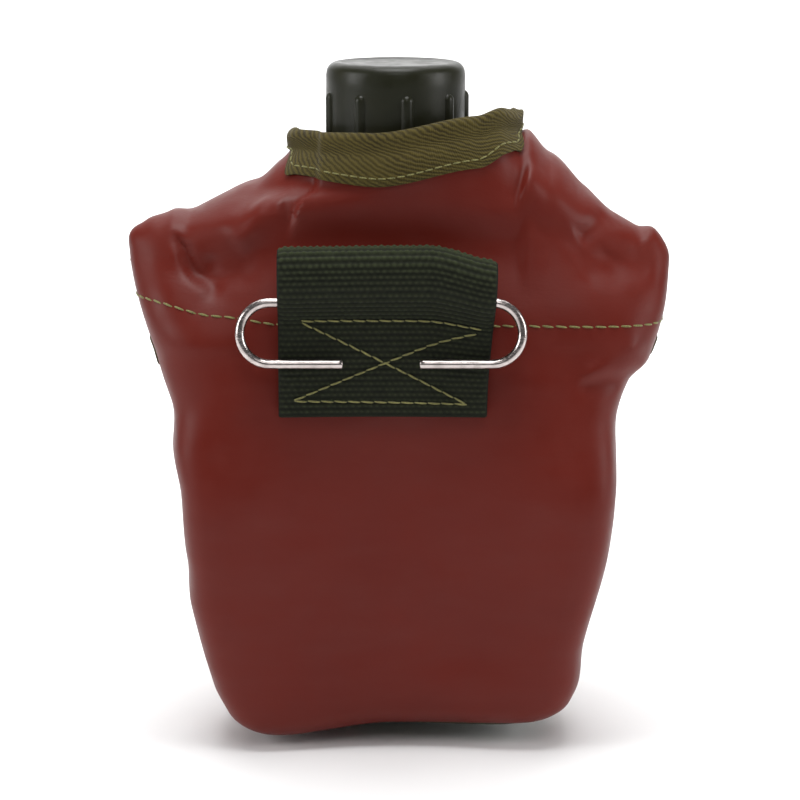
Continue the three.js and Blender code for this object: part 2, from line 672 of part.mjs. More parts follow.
// ---------------------------------------------------------------- snaps, along their own axis
const SNAP_TOP = FLAP_LIFT + SEAM_GAP; // outside of the flap above the front panel's face
const snapPost = () => {
  const seat = -LEATHER - SNAP_SEAT;
  return lathe([[0, seat - 1], [4.5, seat - 1], [4.5, seat], [1.5, seat], [1.5, 1.5], [0, 1.5]], 14);
};
const snapStud = () =>
  lathe([[1.8, 0.6], [4.2, 0.6], [4.2, 1.2], [2.3, 1.4], [2.1, 2.1], [1.8, 2.1]], 14);
// The socket reaches from the stud's nose up to the flap's underside, and the cap's rivet into it.
const SOCKET_TOP = SNAP_TOP - LEATHER - SNAP_SEAT - GAP;
const SOCKET_FLOOR = SOCKET_TOP - 0.4;
const snapSocket = () =>
  lathe([[2.6, 1.8], [4.6, 1.8], [4.6, SOCKET_TOP], [1.5, SOCKET_TOP], [1.5, SOCKET_FLOOR],
    [2.6, SOCKET_FLOOR]], 14);
const snapCap = () => {
  const seat = SNAP_TOP + SNAP_SEAT;
  const dome = [[6.3, seat], [6.1, seat + 0.9], [4.8, seat + 1.7], [2.6, seat + 2.1], [0, seat + 2.2]];
  const rivetEnd = (SOCKET_TOP + SOCKET_FLOOR) / 2;
  return lathe([[0, rivetEnd], [1.2, rivetEnd], [1.2, seat], ...dome], 14);
};

// ---------------------------------------------------------------- hanger
const BAR_Z = WEB_SEAM + BAR_CLEAR + GAP + WIRE / 2;
const loopGap = WIRE + WEB_CURVE + LOOP_CLEAR;
const LOOP_RADIUS = loopGap / 2 + WEB_THICKNESS;
const BAR_OUT = LOOP_RADIUS;
// The panel's face at the middle of the hanger, the nearest to +Y over the webbing's height.
const webFace = (() => {
  const faces = [];
  for (let z = WEB_BOTTOM; z <= WEB_TOP; z += 2) {
    const v = coverForm.along(z);
    for (let psi = -2.3; psi < -0.8; psi += 0.03) {
      const p = coverForm.point(psi, v);
      const x = p.x - HANGER_SHIFT;
      if (Math.abs(x) <= WEB_HALF_WIDTH + 2) faces.push(p.y + WEB_CURVE * (x / WEB_HALF_WIDTH) ** 2);
    }
  }
  return Math.min(...faces) - SEAM_GAP / 2 - GAP;
})();

// The folded webbing in side view, as [out, z]: two layers sewn together below, a loop above.
function webbingOutline() {
  const t = WEB_THICKNESS;
  const foldZ = WEB_TOP - LOOP_RADIUS;
  const outer = [[0, WEB_BOTTOM], [0, foldZ]];
  const fold = [150, 120, 90, 60, 30, 0].map((d) => THREE.MathUtils.degToRad(d));
  const round = (a, radius) => [LOOP_RADIUS + radius * Math.cos(a), foldZ + radius * Math.sin(a)];
  fold.forEach((a) => outer.push(round(a, LOOP_RADIUS)));
  outer.push([2 * LOOP_RADIUS, BAR_Z + 1], [1.6 * LOOP_RADIUS, WEB_SEAM + 1.5]);
  outer.push([2 * t + 0.1, WEB_SEAM - 2.5], [2 * t, WEB_BOTTOM]);
  const r = loopGap / 2;
  const hole = [[BAR_OUT - r * 0.75, BAR_Z - r * 0.72], [BAR_OUT - r, BAR_Z], [BAR_OUT - r, foldZ]];
  fold.forEach((a) => hole.push(round(a, r)));
  hole.push([BAR_OUT + r, BAR_Z], [BAR_OUT + r * 0.6, BAR_Z - r * 0.8]);
  return { outer, hole };
}

function webbing() {
  const { outer, hole } = webbingOutline();
  const along = (outline, reach) =>
    sweep(Array.from({ length: 7 }, (_, i) => {
      const t = (i / 3 - 1) * reach;
      return outline.map(([out, z]) =>
        new THREE.Vector3(HANGER_SHIFT + t * WEB_HALF_WIDTH, webFace - out - WEB_CURVE * t * t, z));
    }));
  return cut(along(outer, 1), [along(hole, 1.05)]);
}

const prongOut = 2 * WEB_THICKNESS + WEB_CURVE + RUN_GAP + WIRE / 2 + SEAM_GAP / 2;
const barY = webFace - BAR_OUT - WEB_CURVE / 2;

// One wire, from the left prong's tip round the left bend, along the bar and round to the right tip.
function hook() {
  const r = HOOK_DROP / 2;
  const bendX = HOOK_HALF_WIDTH - WIRE / 2 - r;
  const prongY = webFace - prongOut;
  const lean = (t) => barY + (prongY - barY) * t;
  const half = (side) => {
    const points = [new THREE.Vector3(side * (bendX - PRONG), prongY, BAR_Z - HOOK_DROP)];
    for (let i = 0; i <= 8; i++) {
      const a = (i / 8) * Math.PI;
      const z = BAR_Z - r - r * Math.cos(a);
      points.push(new THREE.Vector3(side * (bendX + r * Math.sin(a)), lean((BAR_Z - z) / HOOK_DROP), z));
    }
    return points;
  };
  const points = [...half(-1), ...half(1).reverse()];
  points.forEach((p) => p.setX(p.x + HANGER_SHIFT + HOOK_SLIDE));
  return wire(points, WIRE / 2);
}

// A round wire of 8 sides through points, mitred at each of them.
function wire(points, radius) {
  const sides = 8;
  let across = new THREE.Vector3(0, 1, 0);
  const rings = points.map((p, i) => {
    const before = points[Math.max(i - 1, 0)];
    const after = points[Math.min(i + 1, points.length - 1)];
    const along = new THREE.Vector3().subVectors(after, before).normalize();
    across = across.clone().addScaledVector(along, -across.dot(along)).normalize();
    const third = new THREE.Vector3().crossVectors(along, across);
    return Array.from({ length: sides }, (_, k) => {
      const a = ((k + 0.5) / sides) * 2 * Math.PI;
      const [c, s] = [radius * Math.cos(a), radius * Math.sin(a)];
      return p.clone().addScaledVector(across, c).addScaledVector(third, s);
    });
  });
  return loft(rings);
}

// ---------------------------------------------------------------- the assembly
const canteen = new THREE.Group();

function place(parent, name, geometry, material) {
  const mesh = new THREE.Mesh(geometry, material.clone());
  mesh.name = name;
  parent.add(mesh);
  return mesh;
}

place(canteen, "bottle", bottle(), MATERIALS.bottlePlastic);
place(canteen, "cap", cap(), MATERIALS.capPlastic);
place(canteen, "cap_liner", capLiner(), MATERIALS.rubber);
place(canteen, "neck_ring", neckRing(), MATERIALS.capPlastic);
place(canteen, "cap_ring", capRing(), MATERIALS.capPlastic);
place(canteen, "retainer_strap", retainerStrap(), MATERIALS.capPlastic);

place(canteen, "cover_back", coverBack(), MATERIALS.leather);
place(canteen, "cover_front", coverFront(), MATERIALS.leather);
place(canteen, "cover_base", basePanel(BASE_Z, BASE_Z + LEATHER, 3 * GAP), MATERIALS.leather);
place(canteen, "lining_back", lining(true), MATERIALS.pile);
place(canteen, "lining_front", liningFront(), MATERIALS.pile);
place(canteen, "lining_base", basePanel(BASE_Z + inner, BASE_Z + inner + LINING, 2), MATERIALS.pile);
place(canteen, "collar_binding", edgeBinding(true, COLLAR_TOP, COLLAR_LEG), MATERIALS.tape);
place(canteen, "front_binding", edgeBinding(false, FRONT_TOP, BINDING_LEG), MATERIALS.tape);

for (const side of [-1, 1]) {
  const word = side < 0 ? "left" : "right";
  place(canteen, word + "_flap", flap(side), MATERIALS.leather);
  place(canteen, word + "_flap_binding", flapBinding(side), MATERIALS.tape);
  const snap = new THREE.Group();
  const { place: at, turn } = snapFrame(side);
  snap.position.copy(at);
  snap.quaternion.copy(turn);
  place(snap, word + "_snap_post", snapPost(), MATERIALS.brass);
  place(snap, word + "_snap_stud", snapStud(), MATERIALS.brass);
  place(snap, word + "_snap_socket", snapSocket(), MATERIALS.brass);
  place(snap, word + "_snap_cap", snapCap(), MATERIALS.brass);
  canteen.add(snap);
}

place(canteen, "hanger_webbing", webbing(), MATERIALS.webbing);
place(canteen, "hanger_hook", hook(), MATERIALS.steel);

export default canteen;
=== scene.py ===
"""The looks of a covered canteen: leatherette cover, khaki tape, webbing, wire hook and moulded cap.

Every size of the canteen is in millimetres, in the frame's own axes, and becomes metres where a mesh is
made. The studio's sizes are in metres.
"""

from __future__ import annotations

import logging
import math
from dataclasses import dataclass, field
from enum import Enum
from typing import Callable, Sequence

import bmesh
import bpy
import numpy as np
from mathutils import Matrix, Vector


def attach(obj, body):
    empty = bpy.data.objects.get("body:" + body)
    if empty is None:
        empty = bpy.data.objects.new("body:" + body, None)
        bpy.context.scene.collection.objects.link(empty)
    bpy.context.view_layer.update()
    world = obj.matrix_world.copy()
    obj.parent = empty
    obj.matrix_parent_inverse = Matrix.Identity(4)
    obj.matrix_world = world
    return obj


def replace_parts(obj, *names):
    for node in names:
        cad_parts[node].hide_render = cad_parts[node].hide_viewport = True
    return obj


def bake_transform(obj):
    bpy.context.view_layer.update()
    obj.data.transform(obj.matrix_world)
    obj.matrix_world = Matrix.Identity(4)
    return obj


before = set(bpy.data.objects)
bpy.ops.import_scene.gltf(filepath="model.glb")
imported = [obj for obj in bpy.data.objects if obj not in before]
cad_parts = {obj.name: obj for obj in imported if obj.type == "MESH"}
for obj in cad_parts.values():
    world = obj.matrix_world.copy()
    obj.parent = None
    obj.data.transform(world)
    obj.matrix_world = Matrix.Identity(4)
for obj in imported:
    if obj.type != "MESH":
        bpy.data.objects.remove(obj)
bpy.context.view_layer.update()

log = logging.getLogger("canteen")
MM = 0.001
Array = np.ndarray
Piece = bpy.types.Object
Finish = bpy.types.Material
Socket = bpy.types.NodeSocket
Steps = tuple[tuple[float, float], ...]
Outline = list[tuple[float, float]]
Place = tuple[float, float, float]


# ------------------------------------------------------------------ small maths
def smooth(t: Array | float) -> Array | float:
    """Smoothstep of t, held between 0 and 1."""
    t = np.clip(t, 0.0, 1.0)
    return t * t * (3 - 2 * t)


def hump(x: Array | float, middle: float, width: float) -> Array | float:
    """A bell of height 1 at the middle that fades over about the width."""
    return np.exp(-(((np.asarray(x, float) - middle) / width) ** 2))


def eased(z: Array, steps: Sequence[tuple[float, float]]) -> Array:
    """A value that eases from one (height, value) step to the next.

    Args:
        z: Heights.
        steps: Heights with their values, in rising order.

    Returns:
        The value at each height.
    """
    z = np.asarray(z, float)
    out = np.full(z.shape, float(steps[0][1]))
    for (z0, a), (z1, b) in zip(steps, steps[1:]):
        part = a + (b - a) * smooth((z - z0) / (z1 - z0))
        out = np.where(z >= z0, part, out)
    return out


def value_noise(points: Array, cell: Sequence[float], seed: int) -> Array:
    """Smooth seeded noise between -1 and 1.

    Args:
        points: Places, as an array that ends in three coordinates.
        cell: Size of one lump along each axis, in the points' unit.
        seed: Chooses the pattern.

    Returns:
        One value for each point.
    """
    q = points / np.asarray(cell, float) + 1000.0
    base = np.floor(q).astype(np.int64)
    t = smooth(q - base)
    total = np.zeros(points.shape[:-1])
    for corner in range(8):
        offset = np.array([corner & 1, (corner >> 1) & 1, corner >> 2])
        k = base + offset
        h = (k[..., 0] * 73856093) ^ (k[..., 1] * 19349663) ^ (k[..., 2] * 83492791) ^ (seed * 2654435761)
        h = (h ^ (h >> 13)) * 1274126177 & 0x7FFFFFFF
        weight = np.prod(np.where(offset, t, 1 - t), axis=-1)
        total += weight * ((h % 20011) / 10005.5 - 1)
    return total


# ------------------------------------------------------------------ meshes from grids
def new_piece(name: str, vertices: Array, faces: list, flat: Array | None = None) -> Piece:
    """Makes a shaded mesh object from points in millimetres.

    Args:
        name: The piece's name.
        vertices: Points, one row each.
        faces: Lists of point numbers.
        flat: Place of each point on the cloth before sewing, for the materials' weave.

    Returns:
        The new object, linked to the scene.
    """
    mesh = bpy.data.meshes.new(name)
    mesh.from_pydata((vertices * MM).tolist(), [], faces)
    if flat is not None:
        layer = mesh.attributes.new("flat", "FLOAT_VECTOR", "POINT")
        layer.data.foreach_set("vector", np.asarray(flat, np.float32).ravel())
    mesh.validate()
    mesh.shade_smooth()
    piece = bpy.data.objects.new(name, mesh)
    bpy.context.scene.collection.objects.link(piece)
    return piece


def outward(piece: Piece) -> Piece:
    """Turns all faces of a closed piece to point out."""
    shell = bmesh.new()
    shell.from_mesh(piece.data)
    bmesh.ops.recalc_face_normals(shell, faces=shell.faces)
    shell.to_mesh(piece.data)
    shell.free()
    return piece


def grid_faces(rows: int, columns: int, start: int = 0, round_columns: bool = False) -> list[tuple]:
    """Quads of a grid whose points are numbered row by row from start."""
    last = columns if round_columns else columns - 1
    return [
        (
            start + j * columns + i,
            start + j * columns + (i + 1) % columns,
            start + (j + 1) * columns + (i + 1) % columns,
            start + (j + 1) * columns + i,
        )
        for j in range(rows - 1)
        for i in range(last)
    ]


def sheet_piece(name: str, outer: Array, inner: Array, flat: Array) -> Piece:
    """A sheet of cloth or leather between two grids of points, with rounded-over open edges.

    Args:
        name: The piece's name.
        outer: Grid of points on the face, rows by columns by 3.
        inner: The same grid on the back.
        flat: The same grid laid flat, rows by columns by 2.

    Returns:
        The closed piece.
    """
    rows, columns = outer.shape[:2]
    count = rows * columns
    middle = (outer + inner) / 2
    ring = [(0, i) for i in range(columns)] + [(j, columns - 1) for j in range(1, rows)]
    ring += [(rows - 1, i) for i in range(columns - 2, -1, -1)] + [(j, 0) for j in range(rows - 2, 0, -1)]
    half = np.linalg.norm(outer - inner, axis=-1).mean() / 2
    lip = []
    for j, i in ring:
        jn, i_n = min(max(j, 1), rows - 2), min(max(i, 1), columns - 2)
        away = middle[j, i] - middle[jn, i_n]
        length = np.linalg.norm(away)
        lip.append(middle[j, i] + away / length * half * 0.6 if length > 1e-6 else middle[j, i])
    points = np.concatenate([outer.reshape(-1, 3), inner.reshape(-1, 3), np.array(lip)])
    laid = flat.reshape(-1, 2)
    edge_laid = np.array([flat[j, i] for j, i in ring])
    laid = np.concatenate([laid, laid, edge_laid])
    laid = np.column_stack([laid, np.zeros(len(laid))])
    faces = grid_faces(rows, columns)
    faces += [tuple(reversed([k + count for k in quad])) for quad in faces]
    total = len(ring)
    for k, (j, i) in enumerate(ring):
        j2, i2 = ring[(k + 1) % total]
        a, b = j * columns + i, j2 * columns + i2
        c, d = 2 * count + k, 2 * count + (k + 1) % total
        faces.append((b, a, c, d))
        faces.append((d, c, a + count, b + count))
    return outward(new_piece(name, points, faces, laid))


def loft_piece(name: str, rings: Array, flat: Array | None = None) -> Piece:
    """A closed piece through rings of points, rings by points by 3, with both ends closed."""
    count, around = rings.shape[:2]
    ends = np.array([rings[0].mean(0), rings[-1].mean(0)])
    points = np.concatenate([rings.reshape(-1, 3), ends])
    faces = grid_faces(count, around, round_columns=True)
    hub, top = count * around, (count - 1) * around
    faces += [(hub, (i + 1) % around, i) for i in range(around)]
    faces += [(hub + 1, top + i, top + (i + 1) % around) for i in range(around)]
    laid = None
    if flat is not None:
        laid = np.concatenate([flat.reshape(-1, 3), [flat[0].mean(0), flat[-1].mean(0)]])
    return outward(new_piece(name, points, faces, laid))


def lathe_piece(name: str, outline: Sequence[tuple[float, float]], segments: int = 48) -> Piece:
    """A turned piece about +Z from a closed (radius, height) outline off the axis or touching it."""
    rows = []
    for i in range(segments):
        a = i / segments * 2 * math.pi
        rows.append([(r * math.cos(a), r * math.sin(a), z) for r, z in outline])
    points = np.array(rows).reshape(-1, 3)
    m = len(outline)
    faces = [
        (i * m + k, ((i + 1) % segments) * m + k, ((i + 1) % segments) * m + (k + 1) % m, i * m + (k + 1) % m)
        for i in range(segments)
        for k in range(m)
    ]
    piece = new_piece(name, points, faces)
    shell = bmesh.new()
    shell.from_mesh(piece.data)
    bmesh.ops.remove_doubles(shell, verts=shell.verts, dist=1e-6)
    bmesh.ops.dissolve_degenerate(shell, dist=1e-7, edges=shell.edges)
    bmesh.ops.recalc_face_normals(shell, faces=shell.faces)
    shell.to_mesh(piece.data)
    shell.free()
    piece.data.shade_smooth()
    return piece


def sharpen(piece: Piece, degrees: float = 40) -> Piece:
    """Keeps edges sharper than the angle crisp in the shading."""
    piece.data.set_sharp_from_angle(angle=math.radians(degrees))
    return piece


def tube_rings(
    path: Array, radius: float | Array, sides: int = 16, start: Sequence[float] = (0, 1, 0)
) -> Array:
    """Rings of points round a path, without twist.

    Args:
        path: Points of the middle line.
        radius: One radius, or one for each point.
        sides: Points in each ring.
        start: Direction that the first point of the first ring lies in.

    Returns:
        An array of rings by sides by 3.
    """
    radius = np.broadcast_to(radius, len(path))
    across = np.array(start, float)
    along = np.gradient(path, axis=0)
    rings = []
    turns = (np.arange(sides) + 0.5) / sides * 2 * math.pi
    for p, t, r in zip(path, along, radius):
        t = t / np.linalg.norm(t)
        across = across - t * across.dot(t)
        across /= np.linalg.norm(across)
        third = np.cross(t, across)
        rings.append(p + r * (np.outer(np.cos(turns), across) + np.outer(np.sin(turns), third)))
    return np.array(rings)


def merged(name: str, pieces: list[Piece]) -> Piece:
    """Joins pieces into the first one and names it."""
    for other in bpy.context.selected_objects:
        other.select_set(False)
    for piece in pieces:
        piece.select_set(True)
    bpy.context.view_layer.objects.active = pieces[0]
    if len(pieces) > 1:
        bpy.ops.object.join()
    pieces[0].name = name
    pieces[0].data.name = name
    return pieces[0]


# ------------------------------------------------------------------ the canteen's own forms
@dataclass(frozen=True)
class KidneyForm:
    """A stack of kidney sections, each bent towards -Y: the shape that the cover and bottle follow.

    Attributes:
        stations: Height, half-width and half-depth of each section, from the bottom up.
        bend: How far the section bends towards -Y at the half-width of span, by height.
        front: Fullness of the section's +Y half, by height: 2 is an ellipse, more is squarer.
        back: The same for the -Y half.
        span: Half-width at which the bend is measured.
    """

    stations: tuple[tuple[float, float, float], ...]
    bend: Steps
    front: Steps
    back: Steps
    span: float = 60.0

    def curve(self) -> Array:
        """Finely sampled (height, half-width, half-depth) rows along the stack's smooth curve."""
        p = np.array([(a, b, z) for z, a, b in self.stations], float)
        first, last = 2 * p[0] - p[1], 2 * p[-1] - p[-2]
        p = np.vstack([first, p, last])
        rows = []
        for k in range(1, len(p) - 2):
            d = [max(np.sum((p[k + i] - p[k + i - 1]) ** 2) ** 0.25, 1e-4) for i in range(3)]
            x0, x1, x2, x3 = p[k - 1 : k + 3]
            t1 = ((x1 - x0) / d[0] - (x2 - x0) / (d[0] + d[1]) + (x2 - x1) / d[1]) * d[1]
            t2 = ((x2 - x1) / d[1] - (x3 - x1) / (d[1] + d[2]) + (x3 - x2) / d[2]) * d[1]
            c2, c3 = -3 * x1 + 3 * x2 - 2 * t1 - t2, 2 * x1 - 2 * x2 + t1 + t2
            for t in np.linspace(0, 1, 24, endpoint=False):
                rows.append(x1 + t1 * t + c2 * t * t + c3 * t**3)
        rows.append(p[-2])
        table = np.array(rows)[:, [2, 0, 1]]
        table[:, 0] = np.maximum.accumulate(table[:, 0] + np.arange(len(table)) * 1e-7)
        return table

    def at(self, psi: Array, z: Array) -> Array:
        """Points of the form.

        Args:
            psi: Angles round the section from +X.
            z: Heights.

        Returns:
            Points, in the arrays' common shape, with three coordinates.
        """
        table = self.curve()
        psi, z = np.broadcast_arrays(np.asarray(psi, float), np.asarray(z, float))
        a = np.interp(z, table[:, 0], table[:, 1])
        b = np.interp(z, table[:, 0], table[:, 2])
        c, s = np.cos(psi), np.sin(psi)
        n = np.where(s >= 0, eased(z, self.front), eased(z, self.back))
        r = (np.abs(c) ** n + np.abs(s) ** n) ** (-1 / n)
        x = a * r * c
        y = b * r * s - eased(z, self.bend) * (x / self.span) ** 2
        return np.stack([x, y, z + 0 * x], axis=-1)

    def normal(self, psi: Array, z: Array) -> Array:
        """Outward directions of the form's surface at the same places as at()."""
        table = self.curve()
        low, high = table[0, 0], table[-1, 0]
        z = np.asarray(z, float)
        step = 0.25
        z0, z1 = np.clip(z - step, low, high), np.clip(z + step, low, high)
        up = self.at(psi, z1) - self.at(psi, z0)
        round_ = self.at(psi + 0.01, z) - self.at(psi - 0.01, z)
        out = np.cross(round_, up)
        return out / np.maximum(np.linalg.norm(out, axis=-1, keepdims=True), 1e-9)


BODY_TOP = 94.0
FRONT_TOP = 112.0
EAR_Z = 139.5
COLLAR_Z = 165.0
COLLAR_TOP = 171.0
NECK_Z = 151.0
BEND = ((65.8, 18.0), (112.0, 9.0), (139.5, 6.0), (147.7, 6.0), (160.0, 0.0))
FRONT_FULL = ((94.0, 2.5), (139.5, 1.7), (151.0, 2.0))
BACK_FULL = ((94.0, 4.0), (112.0, 3.0), (139.5, 1.8), (151.0, 2.0))


def cover_form() -> KidneyForm:
    """The cover's outside: a rounded bottom edge, a taper, ears at the shoulders and a collar."""
    corner, half_base, half_top, depth = 10.0, 49.3, 62.0, 33.3
    rows = []
    for degrees in (0, 30, 60, 90):
        t = math.radians(degrees)
        inset = corner * (1 - math.sin(t))
        rows.append((corner * (1 - math.cos(t)), half_base - inset, depth - inset))
    for t in (0.25, 0.5, 0.75, 1.0):
        width = half_base + (half_top - half_base) * math.sin(t * math.pi / 2)
        rows.append((corner + (BODY_TOP - corner) * t, width, depth))
    rows += [
        (107.65, 68.0, 33.3),
        (122.21, 72.5, 31.0),
        (134.04, 74.5, 27.5),
        (EAR_Z, 74.0, 26.5),
        (152.3, 54.5, 27.0),
        (COLLAR_Z, 36.0, 27.0),
        (167.6, 33.0, 26.0),
        (COLLAR_TOP, 33.0, 26.0),
    ]
    return KidneyForm(tuple(rows), BEND, FRONT_FULL, BACK_FULL)


# ------------------------------------------------------------------ finishes
class NodeSketch:
    """A material being wired up, with short calls for adding and joining its nodes."""

    def __init__(self, name: str) -> None:
        """Starts a material of that name with one surface shader."""
        self.material = bpy.data.materials.new(name)
        self.material.use_nodes = True
        self.tree = self.material.node_tree
        self.tree.nodes.clear()
        self.shader = self.tree.nodes.new("ShaderNodeBsdfPrincipled")
        end = self.tree.nodes.new("ShaderNodeOutputMaterial")
        self.tree.links.new(self.shader.outputs["BSDF"], end.inputs["Surface"])

    def put(self, target: Socket, value: object) -> None:
        """Sets a socket to a value, or joins it to another node's socket."""
        if isinstance(value, Socket):
            self.tree.links.new(value, target)
        else:
            target.default_value = value

    def add(
        self, kind: str, inputs: dict[str | int, object] | None = None, **settings: object
    ) -> bpy.types.Node:
        """Adds a node.

        Args:
            kind: The node's type, without the leading ShaderNode.
            inputs: Values or sockets for its inputs, by name or place.
            settings: The node's own properties.

        Returns:
            The new node.
        """
        node = self.tree.nodes.new("ShaderNode" + kind)
        for key, value in settings.items():
            setattr(node, key, value)
        for key, value in (inputs or {}).items():
            self.put(node.inputs[key], value)
        return node

    def flat(self) -> Socket:
        """Where a point lies on the cloth laid flat, in millimetres."""
        return self.add("Attribute", attribute_name="flat").outputs["Vector"]

    def body(self) -> Socket:
        """Where a point lies on its piece, in millimetres."""
        place = self.add("TexCoord").outputs["Object"]
        return self.add("VectorMath", {0: place, 1: (1000, 1000, 1000)}, operation="MULTIPLY").outputs[0]

    def noise(
        self, place: Socket, scale: float, detail: float = 2, stretch: Sequence[float] = (1, 1, 1)
    ) -> Socket:
        """Soft noise of so many lumps a millimetre."""
        at = self.add("VectorMath", {0: place, 1: tuple(stretch)}, operation="MULTIPLY").outputs[0]
        return self.add("TexNoise", {"Vector": at, "Scale": scale, "Detail": detail}).outputs["Fac"]

    def maths(self, operation: str, a: object, b: object = 0.0, c: object = 0.0) -> Socket:
        """One step of arithmetic."""
        return self.add("Math", {0: a, 1: b, 2: c}, operation=operation).outputs[0]

    def fit(self, value: object, low: float, high: float, to_low: float, to_high: float) -> Socket:
        """Moves a value from one range into another and holds it there."""
        sockets = {"Value": value, "From Min": low, "From Max": high, "To Min": to_low, "To Max": to_high}
        return self.add("MapRange", sockets).outputs["Result"]

    def blend(self, share: object, first: object, second: object) -> Socket:
        """Mixes two colours."""
        node = self.add("Mix", data_type="RGBA")
        self.put(node.inputs["Factor"], share)
        for socket, value in ((node.inputs[6], first), (node.inputs[7], second)):
            self.put(socket, value)
        return node.outputs[2]

    def bump(self, height: object, strength: float, distance_mm: float) -> Socket:
        """A bump from a height between 0 and 1."""
        sockets = {"Height": height, "Strength": strength, "Distance": distance_mm * MM}
        return self.add("Bump", sockets).outputs["Normal"]

    def done(self, **sockets: object) -> Finish:
        """Sets the shader's sockets, with _ for a space, and returns the material."""
        for key, value in sockets.items():
            self.put(self.shader.inputs[key.replace("_", " ")], value)
        return self.material


def colour(red: int, green: int, blue: int) -> tuple[float, float, float, float]:
    """A linear colour from its display values of 0 to 255."""

    def line(value: float) -> float:
        """One channel, from display to linear."""
        value /= 255
        return value / 12.92 if value <= 0.04045 else ((value + 0.055) / 1.055) ** 2.4

    return (line(red), line(green), line(blue), 1.0)


@dataclass(frozen=True)
class Leatherette:
    """Coated leather: brick red, faintly mottled, with a fine pebble grain and stretched pores."""

    deep: tuple[float, float, float, float] = colour(90, 23, 14)
    light: tuple[float, float, float, float] = colour(102, 30, 20)
    dull: tuple[float, float, float, float] = colour(98, 35, 27)
    roughness: float = 0.42

    def material(self) -> Finish:
        """Builds the material."""
        s = NodeSketch("leatherette")
        place = s.flat()
        mottle = s.noise(place, 0.03, 3)
        streak = s.noise(place, 0.22, 3, (0.25, 1, 1))
        base = s.blend(s.fit(mottle, 0.3, 0.7, 0.3, 0.7), self.deep, self.light)
        base = s.blend(s.fit(streak, 0.4, 0.75, 0, 0.35), base, self.dull)
        cells = s.add("TexVoronoi", {"Vector": place, "Scale": 1.25}, feature="SMOOTH_F1")
        pebbles = cells.outputs["Distance"]
        pores = s.noise(place, 0.9, 4, (0.35, 1.3, 1))
        height = s.maths("ADD", s.maths("MULTIPLY", pebbles, 0.5), pores)
        grain = s.bump(height, 0.22, 0.12)
        rough = s.fit(s.noise(place, 0.12, 3), 0.3, 0.7, self.roughness - 0.05, self.roughness + 0.1)
        return s.done(Base_Color=base, Roughness=rough, Normal=grain, Specular_IOR_Level=0.2)


@dataclass(frozen=True)
class TwillTape:
    """Khaki cotton tape with a steep twill, painted darker in its valleys as shade and lighter on its ridges.
    """

    # The valley colour is painted shade; the thread colour is the tape's own.
    valley_shade: tuple[float, float, float, float] = colour(42, 35, 14)
    thread: tuple[float, float, float, float] = colour(86, 76, 34)
    pitch: float = 1.15

    def material(self) -> Finish:
        """Builds the material."""
        s = NodeSketch("binding_tape")
        place = s.flat()
        parts = s.add("SeparateXYZ", {0: place}).outputs
        across = s.maths("ADD", s.maths("MULTIPLY", parts[0], 0.5), parts[1])
        wobble = s.fit(s.noise(place, 0.6, 2), 0, 1, -0.5, 0.5)
        turn = s.maths("MULTIPLY", s.maths("ADD", across, wobble), 2 * math.pi / self.pitch)
        ridge = s.fit(s.maths("SINE", turn), -1, 1, 0, 1)
        picks = s.fit(s.maths("SINE", s.maths("MULTIPLY", parts[0], 2 * math.pi / 0.55)), -1, 1, 0, 1)
        fuzz = s.noise(place, 3, 3)
        height = s.maths("ADD", s.maths("MULTIPLY", ridge, 0.8), s.maths("MULTIPLY", picks, 0.25))
        # Painted light: the twill's ridges are painted lighter and its valleys darker, broken up by fuzz
        # noise.
        ridge_shading = s.maths("ADD", ridge, s.maths("MULTIPLY", fuzz, 0.6))
        base = s.blend(s.fit(ridge_shading, 0.2, 1.4, 0, 1), self.valley_shade, self.thread)
        wear = s.fit(s.noise(place, 0.12, 2), 0.35, 0.7, 0, 0.35)
        base = s.blend(wear, base, self.thread)
        twill = s.bump(height, 0.7, 0.35)
        surface = {"Base_Color": base, "Roughness": 0.88, "Normal": twill}
        return s.done(**surface, Specular_IOR_Level=0.2, Sheen_Weight=0.06)


@dataclass(frozen=True)
class Webbing:
    """Dark green woven webbing: the mesh holds its knuckles; the material, their yarns with painted shade and
    highlight.
    """

    # dark is painted shade for the weave's pits, tip a painted highlight for its knuckle tops and fold.
    dark: tuple[float, float, float, float] = colour(11, 13, 8)
    yarn: tuple[float, float, float, float] = colour(31, 35, 21)
    tip: tuple[float, float, float, float] = colour(56, 63, 38)

    def material(self) -> Finish:
        """Builds the material."""
        s = NodeSketch("webbing")
        place = s.flat()
        across, along, lift = s.add("SeparateXYZ", {0: place}).outputs
        slant = s.maths("ADD", across, s.maths("MULTIPLY", along, 0.7))
        fibre = s.maths("SINE", s.maths("MULTIPLY", slant, 16))
        fuzz = s.noise(place, 4, 3)
        # Painted shade: the lower the weave, the darker it is painted.
        base = s.blend(s.fit(lift, -0.1, 0.75, 0, 1), self.dark, self.yarn)
        # Painted highlight: the knuckle tops and the fold are painted lighter, broken up by fuzz noise.
        knuckle_highlight = s.maths("ADD", lift, s.maths("MULTIPLY", fuzz, 0.5))
        base = s.blend(s.fit(knuckle_highlight, 0.95, 1.7, 0, 0.8), base, self.tip)
        height = s.maths("ADD", s.fit(fibre, -1, 1, 0, 0.5), fuzz)
        yarns = s.bump(height, 0.5, 0.15)
        return s.done(Base_Color=base, Roughness=0.8, Normal=yarns, Specular_IOR_Level=0.2)


@dataclass(frozen=True)
class Pile:
    """Short dense pile, as of a blanket lining."""

    low: tuple[float, float, float, float] = colour(78, 74, 52)
    high: tuple[float, float, float, float] = colour(132, 126, 96)

    def material(self) -> Finish:
        """Builds the material."""
        s = NodeSketch("pile")
        place = s.body()
        tuft = s.noise(place, 1.1, 5)
        base = s.blend(s.fit(tuft, 0.35, 0.65, 0, 1), self.low, self.high)
        return s.done(Base_Color=base, Roughness=1.0, Normal=s.bump(tuft, 0.9, 0.8), Sheen_Weight=0.5)


